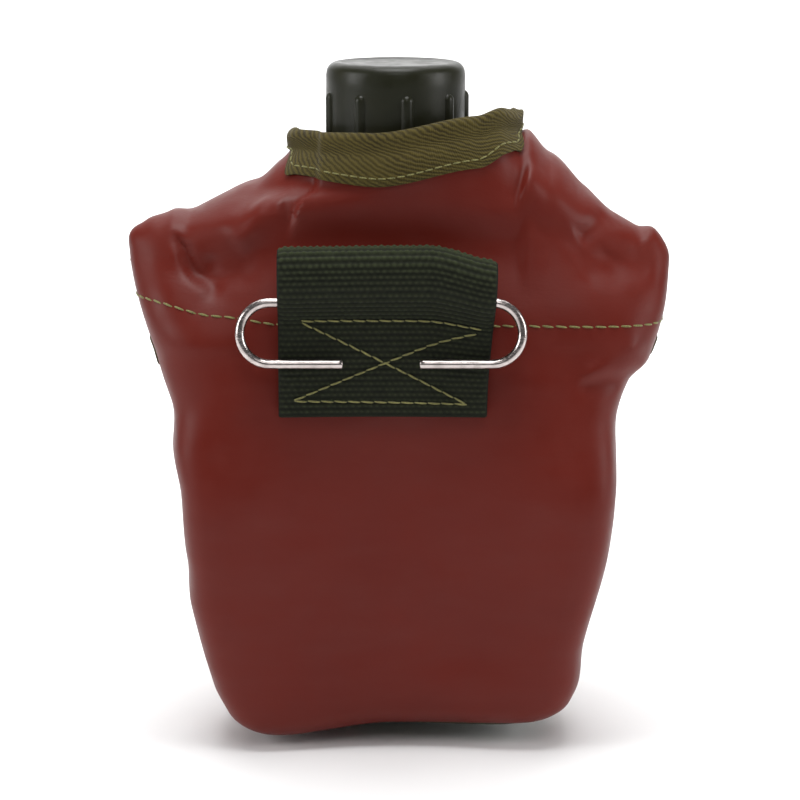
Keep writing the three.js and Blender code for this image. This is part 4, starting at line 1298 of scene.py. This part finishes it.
# ------------------------------------------------------------------ the hanger
@dataclass
class Hanger:
    """The folded webbing with its box of stitches, and the wire hook in its loop."""

    looks: Looks
    shift: float = -2.0
    half_width: float = 28.7
    thickness: float = 2.1
    bottom: float = 95.5
    top: float = 140.0
    seam: float = 121.5
    face: float = -35.227
    curve: float = 1.2
    loop_radius: float = 4.75
    bar: tuple[float, float] = (-40.577, 126.2)
    wire: float = 2.6
    hook_half: float = 38.9
    drop: float = 16.2
    prong: float = 19.0
    slide: float = -1.8
    row_pitch: float = 1.5
    knob_pitch: float = 1.7

    def middle_line(self) -> Array:
        """The strap's middle in side view as (out, height), from its hidden end round to its front end."""
        t = self.thickness
        r = self.loop_radius - t / 2
        fold = self.top - self.loop_radius
        back = [(t / 2, z) for z in np.linspace(self.bottom, fold, 24)]
        half_turn = np.linspace(0, math.pi, 48)[1:]
        turn = [(self.loop_radius - r * math.cos(a), fold + r * math.sin(a)) for a in half_turn]
        out = self.loop_radius + r
        low = t * 1.5 + 0.05
        down = np.linspace(fold, self.bottom, 130)[1:]
        front = [(low + (out - low) * float(smooth((z - self.seam + 2) / 10)), z) for z in down]
        return np.array(back + turn + front)

    def weave(self, x: Array, along: Array) -> Array:
        """Height of the woven knuckles, from 0 to 1."""
        row = along / self.row_pitch
        rib = 0.5 + 0.5 * np.cos(2 * math.pi * row)
        stagger = 0.5 * (np.floor(row + 0.5) % 2)
        knob = 0.5 + 0.5 * np.cos(2 * math.pi * (x / self.knob_pitch + stagger))
        loose = value_noise(np.stack([x, along, 0 * x], axis=-1), (0.9, 0.9, 1), 8)
        return np.clip(0.1 + rib * (0.5 + 0.42 * knob) + 0.14 * loose, 0, 1.15)

    def webbing(self) -> Piece:
        """The folded strap."""
        line = self.middle_line()
        length = run_of(line)
        start_fine = self.top - self.loop_radius - self.bottom - 4
        hidden, seen = np.arange(0, start_fine, 1.6), np.arange(start_fine, length[-1], 0.3)
        s = np.concatenate([hidden, seen, [length[-1]]])
        out = np.interp(s, length, line[:, 0])
        z = np.interp(s, length, line[:, 1])
        d_out, d_z = np.gradient(out, s), np.gradient(z, s)
        size = np.hypot(d_out, d_z)
        n_out, n_z = -d_z / size, d_out / size
        x = np.arange(-self.half_width, self.half_width + 0.01, 0.26)
        xx, ss = np.meshgrid(x, s)
        fine = (ss > start_fine).astype(float)
        turn_middle = start_fine + 4 + math.pi * (self.loop_radius - self.thickness / 2) / 2
        on_fold = hump(ss, turn_middle, 7.0)
        knuckle = self.weave(xx, ss)
        edge = smooth((self.half_width - np.abs(xx)) / 1.3)
        relief = (knuckle - 0.5) * (0.5 + 0.35 * on_fold) * fine
        half = self.thickness / 2 * (0.72 + 0.28 * edge)

        def layer(sign: float) -> Array:
            """One face of the strap."""
            lift = sign * half + (relief if sign > 0 else 0.4 * relief)
            o = out[:, None] + n_out[:, None] * lift
            h = z[:, None] + n_z[:, None] * lift
            return self.set_on(xx, o, h)

        outer, inner = layer(1.0), layer(-1.0)
        piece = sheet_piece("webbing_strap", outer, inner, np.stack([xx, ss], axis=-1))
        laid = piece.data.attributes["flat"].data
        lift = np.zeros((len(laid), 3), np.float32)
        laid.foreach_get("vector", lift.ravel())
        # The third laid value drives the material's painted light: raised on the fold for painted highlight,
        # lowered on the face towards the cover for painted shade.
        values = np.concatenate([(knuckle + 0.5 * on_fold * fine).ravel(), (knuckle * 0.8).ravel()])
        lift = lift.reshape(-1, 3)
        lift[: len(values), 2] = values
        laid.foreach_set("vector", lift.ravel())
        return piece

    def set_on(self, x: Array, out: Array, z: Array) -> Array:
        """Places points of the strap on the cover, a little askew as it is sewn."""
        t = x / self.half_width
        high = smooth((z - self.bottom) / (self.top - self.bottom))
        askew = x + (t + 1) / 2 * (high - 1) * 2.6
        droop = high * (1.2 - 4.2 * smooth((t - 0.35) / 0.7) + 0.3 * t)
        y = self.face - out - self.curve * t * t
        return np.stack([self.shift + askew + 0 * out, y + 0 * askew, z + droop], axis=-1)

    def front_out(self, z: Array) -> Array:
        """How far the strap's front face stands out at each height."""
        low = self.thickness * 2 + 0.1
        high = 2 * self.loop_radius
        return low + (high - low) * smooth((z - self.seam + 2) / 10)

    def box_stitches(self) -> None:
        """The sewn box: a row above and below, and a cross between them."""
        x0, x1, z0, z1 = -26.5, 21.5, self.bottom + 3.2, self.seam - 1.2
        rows = {
            "box_top": ((x0 + 1.5, z1 + 0.4), (x1 + 2.5, z1)),
            "box_cross_down": ((x0 + 1.5, z1), (x1 - 0.5, z0 + 0.2)),
            "box_cross_up": ((x1 + 1.2, z1 - 1.4), (x0 - 0.5, z0 + 1.0)),
            "box_bottom": ((x0 - 0.5, z0 + 0.8), (x1, z0)),
        }
        for name, ((ax, az), (bx, bz)) in rows.items():
            t = np.linspace(0, 1, 90)
            x = ax + (bx - ax) * t - self.shift
            z = az + (bz - az) * t
            out = self.front_out(z) + 0.25
            path = self.set_on(x, out, z)
            face = np.tile(np.array([0.0, -1.0, 0.0]), (len(t), 1))
            row = Seam(pitch=3.5, radius=0.27, slant=0.12).sew(path, face)
            row.name = name
            dressed(row, self.looks.thread, "webbing")

    def hook_line(self) -> Array:
        """The wire's middle line, from the left prong's tip to the right one's."""
        r = self.drop / 2
        bend_x = self.hook_half - self.wire / 2 - r
        bar_y, bar_z = self.bar
        prong_y = self.face - (2 * self.thickness + self.curve + 0.5 + self.wire / 2 + 0.2)
        left = []
        for t in np.linspace(0, 1, 16)[:-1]:
            left.append((-(bend_x - self.prong * (1 - t)), prong_y, bar_z - self.drop))
        for a in np.linspace(0, math.pi, 41):
            z = bar_z - r - r * math.cos(a)
            share = float(smooth((bar_z - z) / self.drop))
            left.append((-(bend_x + r * math.sin(a)), bar_y + (prong_y - bar_y) * share, z))
        left = np.array(left)
        bar = np.array([(x, bar_y, bar_z) for x in np.linspace(-bend_x, bend_x, 30)[1:-1]])
        right = left[::-1] * np.array([-1, 1, 1])
        line = np.concatenate([left, bar, right])
        line[:, 0] += self.shift + self.slide
        return line

    def hook(self) -> Piece:
        """The bent wire, with cleanly cut, slightly broken ends."""
        line = self.hook_line()
        radius = np.full(len(line), self.wire / 2)
        for k in (14, 15, 16):
            radius[k] *= 0.94
            radius[-1 - k] *= 0.94
        edge = 0.28
        first = (line[0] - line[1]) / np.linalg.norm(line[0] - line[1])
        last = (line[-1] - line[-2]) / np.linalg.norm(line[-1] - line[-2])
        line = np.concatenate([[line[0] + first * edge], line, [line[-1] + last * edge]])
        radius = np.concatenate([[radius[0] - edge], radius, [radius[-1] - edge]])
        return loft_piece("wire_hook", tube_rings(line, radius, 28))

    def build(self) -> None:
        """Makes and dresses the hanger."""
        strap = dressed(self.webbing(), self.looks.webbing, "webbing")
        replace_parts(strap, "hanger_webbing")
        self.box_stitches()
        wire = dressed(sharpen(self.hook(), 50), self.looks.steel, "wire_steel", "hook")
        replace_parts(wire, "hanger_hook")


# ------------------------------------------------------------------ the bottle and its cap
@dataclass
class BottleAndCap:
    """The bottle, its neck with a screw ridge, the ribbed cap and the strap that keeps it."""

    looks: Looks
    neck: float = 15.5
    bore: float = 13.2
    neck_top: float = 182.5
    wall: float = 2.0
    wrap: float = 4.3
    cap_low: float = 162.8
    cap_top: float = 186.8
    cap_radius: float = 19.2
    cap_bore: float = 17.2
    edge: float = 3.0
    ribs: int = 9
    rib_half: float = 1.9
    rib_proud: float = 1.0
    rib_drop: float = 7.6
    rib_turn: float = 9.5
    groove: float = 18.1
    groove_low: float = 163.6
    groove_high: float = 167.2
    shoulder: tuple[tuple[float, float, float], ...] = (
        (0.3, 1.0, 0.98), (0.5, 0.94, 0.82), (0.67, 0.78, 0.42), (0.8, 0.54, 0.12), (0.92, 0.2, 0.02),
        (1.0, 0.0, 0.0),
    )

    def bottle_form(self) -> KidneyForm:
        """The bottle's outside: the cover's form less its layers, then the shoulder and neck."""
        half_base, half_top, depth, corner, low = 45.0, 57.7, 29.0, 5.7, self.wrap
        rows = []
        for degrees in (0, 30, 60, 90):
            t = math.radians(degrees)
            inset = corner * (1 - math.sin(t))
            rows.append((low + corner * (1 - math.cos(t)), half_base - inset, depth - inset))
        for t in (0.25, 0.5, 0.75, 1.0):
            width = half_base + (half_top - half_base) * math.sin(t * math.pi / 2)
            rows.append((low + corner + (BODY_TOP - low - corner) * t, width, depth))
        rise = NECK_Z - BODY_TOP
        for t, w, d in self.shoulder:
            width = self.neck + (half_top - self.neck) * w
            rows.append((BODY_TOP + rise * t, width, self.neck + (depth - self.neck) * d))
        rows.append((self.neck_top, self.neck, self.neck))
        return KidneyForm(tuple(rows), BEND, FRONT_FULL, BACK_FULL)

    def bottle(self) -> Piece:
        """The hollow bottle, with its rim and inner wall."""
        form = self.bottle_form()
        psi = np.arange(96) / 96 * 2 * math.pi + 1e-3
        body, shoulder = np.linspace(self.wrap, 96, 26), np.linspace(99, NECK_Z - 1, 26)
        heights = np.concatenate([body, shoulder, [NECK_Z + 3, 170, self.neck_top - 0.6]])
        outer = [form.at(psi, np.full(psi.shape, z)) for z in heights]
        outer[0] = outer[0] * np.array([0.96, 0.96, 1])

        def circle(radius: float, z: float) -> Array:
            """A ring of the neck."""
            return np.column_stack([radius * np.cos(psi), radius * np.sin(psi), 0 * psi + z])

        rim = [circle(self.neck - 0.6, self.neck_top), circle(self.bore + 0.4, self.neck_top)]
        rim.append(circle(self.bore, self.neck_top - 0.6))
        inner = [circle(self.bore, z) for z in (170.0, NECK_Z + 2)]
        for z in heights[:-3][::-1]:
            ring = form.at(psi, np.full(psi.shape, max(z, self.wrap + self.wall)))
            reach = np.linalg.norm(ring[:, :2], axis=1, keepdims=True)
            ring[:, :2] *= np.maximum(reach - self.wall - 0.4, self.bore) / reach
            inner.append(ring)
        return loft_piece("bottle_shell", np.array(outer + rim + inner))

    def ridge(self, name: str, wall: float, foot: float, side: int, height: float = 1.2) -> Piece:
        """A screw ridge on a wall, outwards for side 1 and inwards for side -1."""
        pitch, turns = 4.0, 1.25
        rings = []
        for t in np.linspace(0, 1, 90):
            fade = min(1.0, 8 * min(t, 1 - t) + 0.05)
            a = t * turns * 2 * math.pi
            ring = []
            for out, dz in ((-0.4, -0.75), (0.5, -0.6), (1.0, -0.35), (1.0, 0.35), (0.5, 0.6), (-0.4, 0.75)):
                r = wall + side * (out * fade * height if out > 0 else out)
                ring.append((r * math.cos(a), r * math.sin(a), foot + t * turns * pitch + dz))
            rings.append(ring)
        return sharpen(loft_piece(name, np.array(rings)), 60)

    def cap(self) -> Piece:
        """The ribbed screw cap, with a rounded top edge, a faint step and a groove for its ring."""
        r, top, bore, low = self.cap_radius, self.cap_top, self.cap_bore, self.cap_low
        outline = [(0, top - 2.4), (bore - 0.5, top - 2.4), (bore, top - 2.9), (bore, low + 0.3)]
        outline += [(bore + 0.3, low), (r - 0.6, low), (r - 0.3, low + 0.3), (r - 0.3, self.groove_low)]
        outline += [(self.groove, self.groove_low), (self.groove, self.groove_high)]
        outline += [(r - 0.15, self.groove_high), (r, self.groove_high + 0.2)]
        outline += [(r, z) for z in np.linspace(self.groove_high + 2, top - self.edge - 0.4, 6)]
        for degrees in range(0, 91, 10):
            t = math.radians(degrees)
            outline.append((r - 0.1 - self.edge * (1 - math.cos(t)), top - self.edge * (1 - math.sin(t))))
        outline += [(r - self.edge - 1.0, top), (r - self.edge - 1.5, top - 0.22)]
        outline += [(r * 0.4, top - 0.3), (0, top - 0.3)]
        shell = lathe_piece("cap_shell", outline, 144)
        pieces = [sharpen(shell, 35)]
        for k in range(self.ribs):
            pieces.append(self.rib(k))
        pieces.append(self.ridge("cap_ridge", self.cap_bore, self.neck_top - 11, -1))
        return merged("screw_cap", pieces)

    def rib(self, index: int) -> Piece:
        """One rounded grip rib."""
        angle = math.radians(self.rib_turn - 90 + index * 360 / self.ribs)
        centre = self.cap_radius + self.rib_proud - self.rib_half
        top = self.cap_top - self.rib_drop
        rings = []
        turns = np.arange(20) / 20 * 2 * math.pi
        rows = [(z, 1.0) for z in np.linspace(self.groove_high + 0.5, top - self.rib_half, 8)]
        rows = [(self.groove_high + 0.05, 0.86)] + rows
        for a in np.linspace(0.2, math.pi / 2, 7):
            rows.append((top - self.rib_half * (1 - math.sin(a)), max(math.cos(a), 0.08)))
        c, s = math.cos(angle), math.sin(angle)
        for z, size in rows:
            x = centre + self.rib_half * size * np.cos(turns)
            y = self.rib_half * size * np.sin(turns)
            rings.append(np.column_stack([x * c - y * s, x * s + y * c, 0 * x + z]))
        return loft_piece(f"rib_{index}", np.array(rings))

    def washer(self, name: str, bore: float, outer: float, low: float, high: float) -> Piece:
        """A ring with broken edges."""
        e = 0.3
        outline = [(bore, low + e), (bore + e, low), (outer - e, low), (outer, low + e)]
        outline += [(outer, high - e), (outer - e, high), (bore + e, high), (bore, high - e)]
        return sharpen(lathe_piece(name, outline, 96), 30)

    def keeper_strap(self) -> Piece:
        """The strap between the ring on the neck and the ring on the cap."""
        low, high = self.neck + 0.3 + 1.8 + 0.3, self.groove + 0.5 + 1.8 + 0.3
        zl, zh = NECK_Z + 3 + 1.3, self.groove_low + 0.5 + 1.3
        reach = (high + 4.5, (zl + zh) / 2)
        corners = np.array([(low, zl), (high + 3.0, zl), reach, (high + 3.5, zh), (high, zh)])
        t = np.linspace(0, 1, 30)
        basis = [(1 - t) ** 4, 4 * t * (1 - t) ** 3, 6 * t**2 * (1 - t) ** 2, 4 * t**3 * (1 - t), t**4]
        path = sum(b[:, None] * c[None, :] for b, c in zip(basis, corners * np.array([1.06, 1.0])))
        path[0], path[-1] = corners[0], corners[-1]
        rings = []
        tangent = np.gradient(path, axis=0)
        for (y, z), (ty, tz) in zip(path, tangent):
            size = math.hypot(ty, tz)
            ny, nz = -tz / size, ty / size
            ring = []
            for a in np.linspace(0, 2 * math.pi, 17)[:-1]:
                c, s = math.cos(a), math.sin(a)
                w = 3.2 * math.copysign(abs(c) ** 0.35, c)
                h = 0.6 * math.copysign(abs(s) ** 0.6, s)
                ring.append((w, y + ny * h, z + nz * h))
            rings.append(ring)
        return loft_piece("keeper_strap", np.array(rings))

    def build(self) -> None:
        """Makes and dresses the bottle and everything at its mouth."""
        looks = self.looks
        neck_ridge = self.ridge("neck_ridge", self.neck, self.neck_top - 9, 1)
        shell = merged("bottle_shell", [self.bottle(), neck_ridge])
        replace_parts(dressed(shell, looks.bottle, "bottle_plastic"), "bottle")
        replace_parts(dressed(self.cap(), looks.cap, "cap_plastic", "cap"), "cap")
        liner = self.washer("cap_washer", 0.4, self.cap_bore - 0.5, self.neck_top + 0.3, self.neck_top + 1.6)
        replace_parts(dressed(liner, looks.rubber, "liner_rubber", "cap"), "cap_liner")
        low = self.groove_low + 0.5
        ring = self.washer("keeper_ring_cap", self.groove + 0.5, self.groove + 2.3, low, low + 2.6)
        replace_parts(dressed(ring, looks.cap, "cap_plastic", "cap_ring"), "cap_ring")
        low = NECK_Z + 3
        ring = self.washer("keeper_ring_neck", self.neck + 0.3, self.neck + 2.1, low, low + 2.6)
        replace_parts(dressed(ring, looks.cap, "cap_plastic"), "neck_ring")
        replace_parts(dressed(self.keeper_strap(), looks.cap, "cap_plastic"), "retainer_strap")


# ------------------------------------------------------------------ the studio
@dataclass
class Studio:
    """Pale floor and backdrop, soft lights and the camera.

    Attributes:
        distance: Of the camera from its aim.
        elevation: Of the camera, in degrees.
        aim: Where the camera looks.
        lens: Focal length of the camera, in millimetres.
        centre: Where the lamps point.
        lamps: Name, place, side and watts of each lamp.
    """

    distance: float = 0.8
    elevation: float = 11.3
    aim: tuple[float, float, float] = (0.0012, 0.0, 0.0918)
    lens: float = 127.8
    centre: Place = (0.0, 0.0, 0.09)
    lamps: tuple[tuple[str, Place, float, float], ...] = (
        ("top_light", (0.0, -0.12, 1.3), 0.7, 13),
        ("left_light", (-1.15, -0.35, 0.5), 0.6, 6.5),
        ("right_light", (1.15, -0.3, 0.45), 0.6, 6.0),
        ("front_light", (0.1, -1.3, 1.25), 0.7, 3.6),
    )

    def light(self, name: str, place: Place, aim: Place, size: float, watts: float) -> None:
        """A square soft light that faces a point."""
        lamp = bpy.data.lights.new(name, "AREA")
        lamp.energy = watts
        lamp.size = size
        piece = bpy.data.objects.new(name, lamp)
        piece.location = place
        piece.rotation_euler = (Vector(aim) - Vector(place)).to_track_quat("-Z", "Y").to_euler()
        bpy.context.scene.collection.objects.link(piece)

    def floor(self) -> None:
        """A pale sweep: flat below and rising far behind."""
        foot, bend = 1.2, 0.8
        profile = [(-2.5, 0.0), (foot, 0.0)]
        for a in np.linspace(0.1, math.pi / 2, 12):
            profile.append((foot + bend * math.sin(a), bend - bend * math.cos(a)))
        profile.append((foot + bend, 3.5))
        points = np.array([[(x, y, z - 0.0002) for y, z in profile] for x in (-3.5, 3.5)]) / MM
        sweep = new_piece("floor_sweep", points.reshape(-1, 3), grid_faces(2, len(profile)))
        s = NodeSketch("floor_paper")
        s.done(Base_Color=(0.92, 0.92, 0.92, 1), Roughness=0.9)
        sweep.data.materials.append(s.material)

    def camera(self) -> None:
        """The camera, level with the cap and a little above."""
        lens = bpy.data.cameras.new("camera")
        lens.lens = self.lens
        lens.sensor_width = 36
        piece = bpy.data.objects.new("camera", lens)
        a = math.radians(self.elevation)
        aim = Vector(self.aim)
        piece.location = aim + Vector((0, -math.cos(a), math.sin(a))) * self.distance
        piece.rotation_euler = (aim - piece.location).to_track_quat("-Z", "Y").to_euler()
        bpy.context.scene.collection.objects.link(piece)
        bpy.context.scene.camera = piece

    def build(self) -> None:
        """Sets up the whole studio."""
        scene = bpy.context.scene
        scene.view_settings.view_transform = "Standard"
        world = bpy.data.worlds.new("studio")
        world.use_nodes = True
        world.node_tree.nodes["Background"].inputs[0].default_value = (1, 1, 1, 1)
        world.node_tree.nodes["Background"].inputs[1].default_value = 0.1
        scene.world = world
        for name, place, size, watts in self.lamps:
            self.light(name, place, self.centre, size, watts)
        self.light("back_light", (0.0, 0.9, 1.6), (0, 2.0, 0.6), 1.6, 40)
        self.floor()
        self.camera()


def finish_snaps(looks: Looks) -> None:
    """Gives the snap fasteners, which keep their modelled shape, their darkened brass."""
    for side in Side:
        for piece in ("post", "stud", "socket", "cap"):
            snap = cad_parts[f"{side.value}_snap_{piece}"]
            for place in snap.material_slots:
                place.material = looks.brass


def main() -> None:
    """Builds the canteen and its studio."""
    logging.basicConfig(level=logging.INFO, format="%(name)s: %(message)s")
    Studio().build()
    looks = Looks()
    for part in (BottleAndCap(looks), Cover(looks), Hanger(looks)):
        part.build()
        log.info("%s built", type(part).__name__)
    finish_snaps(looks)


if __name__ == "__main__":
    main()
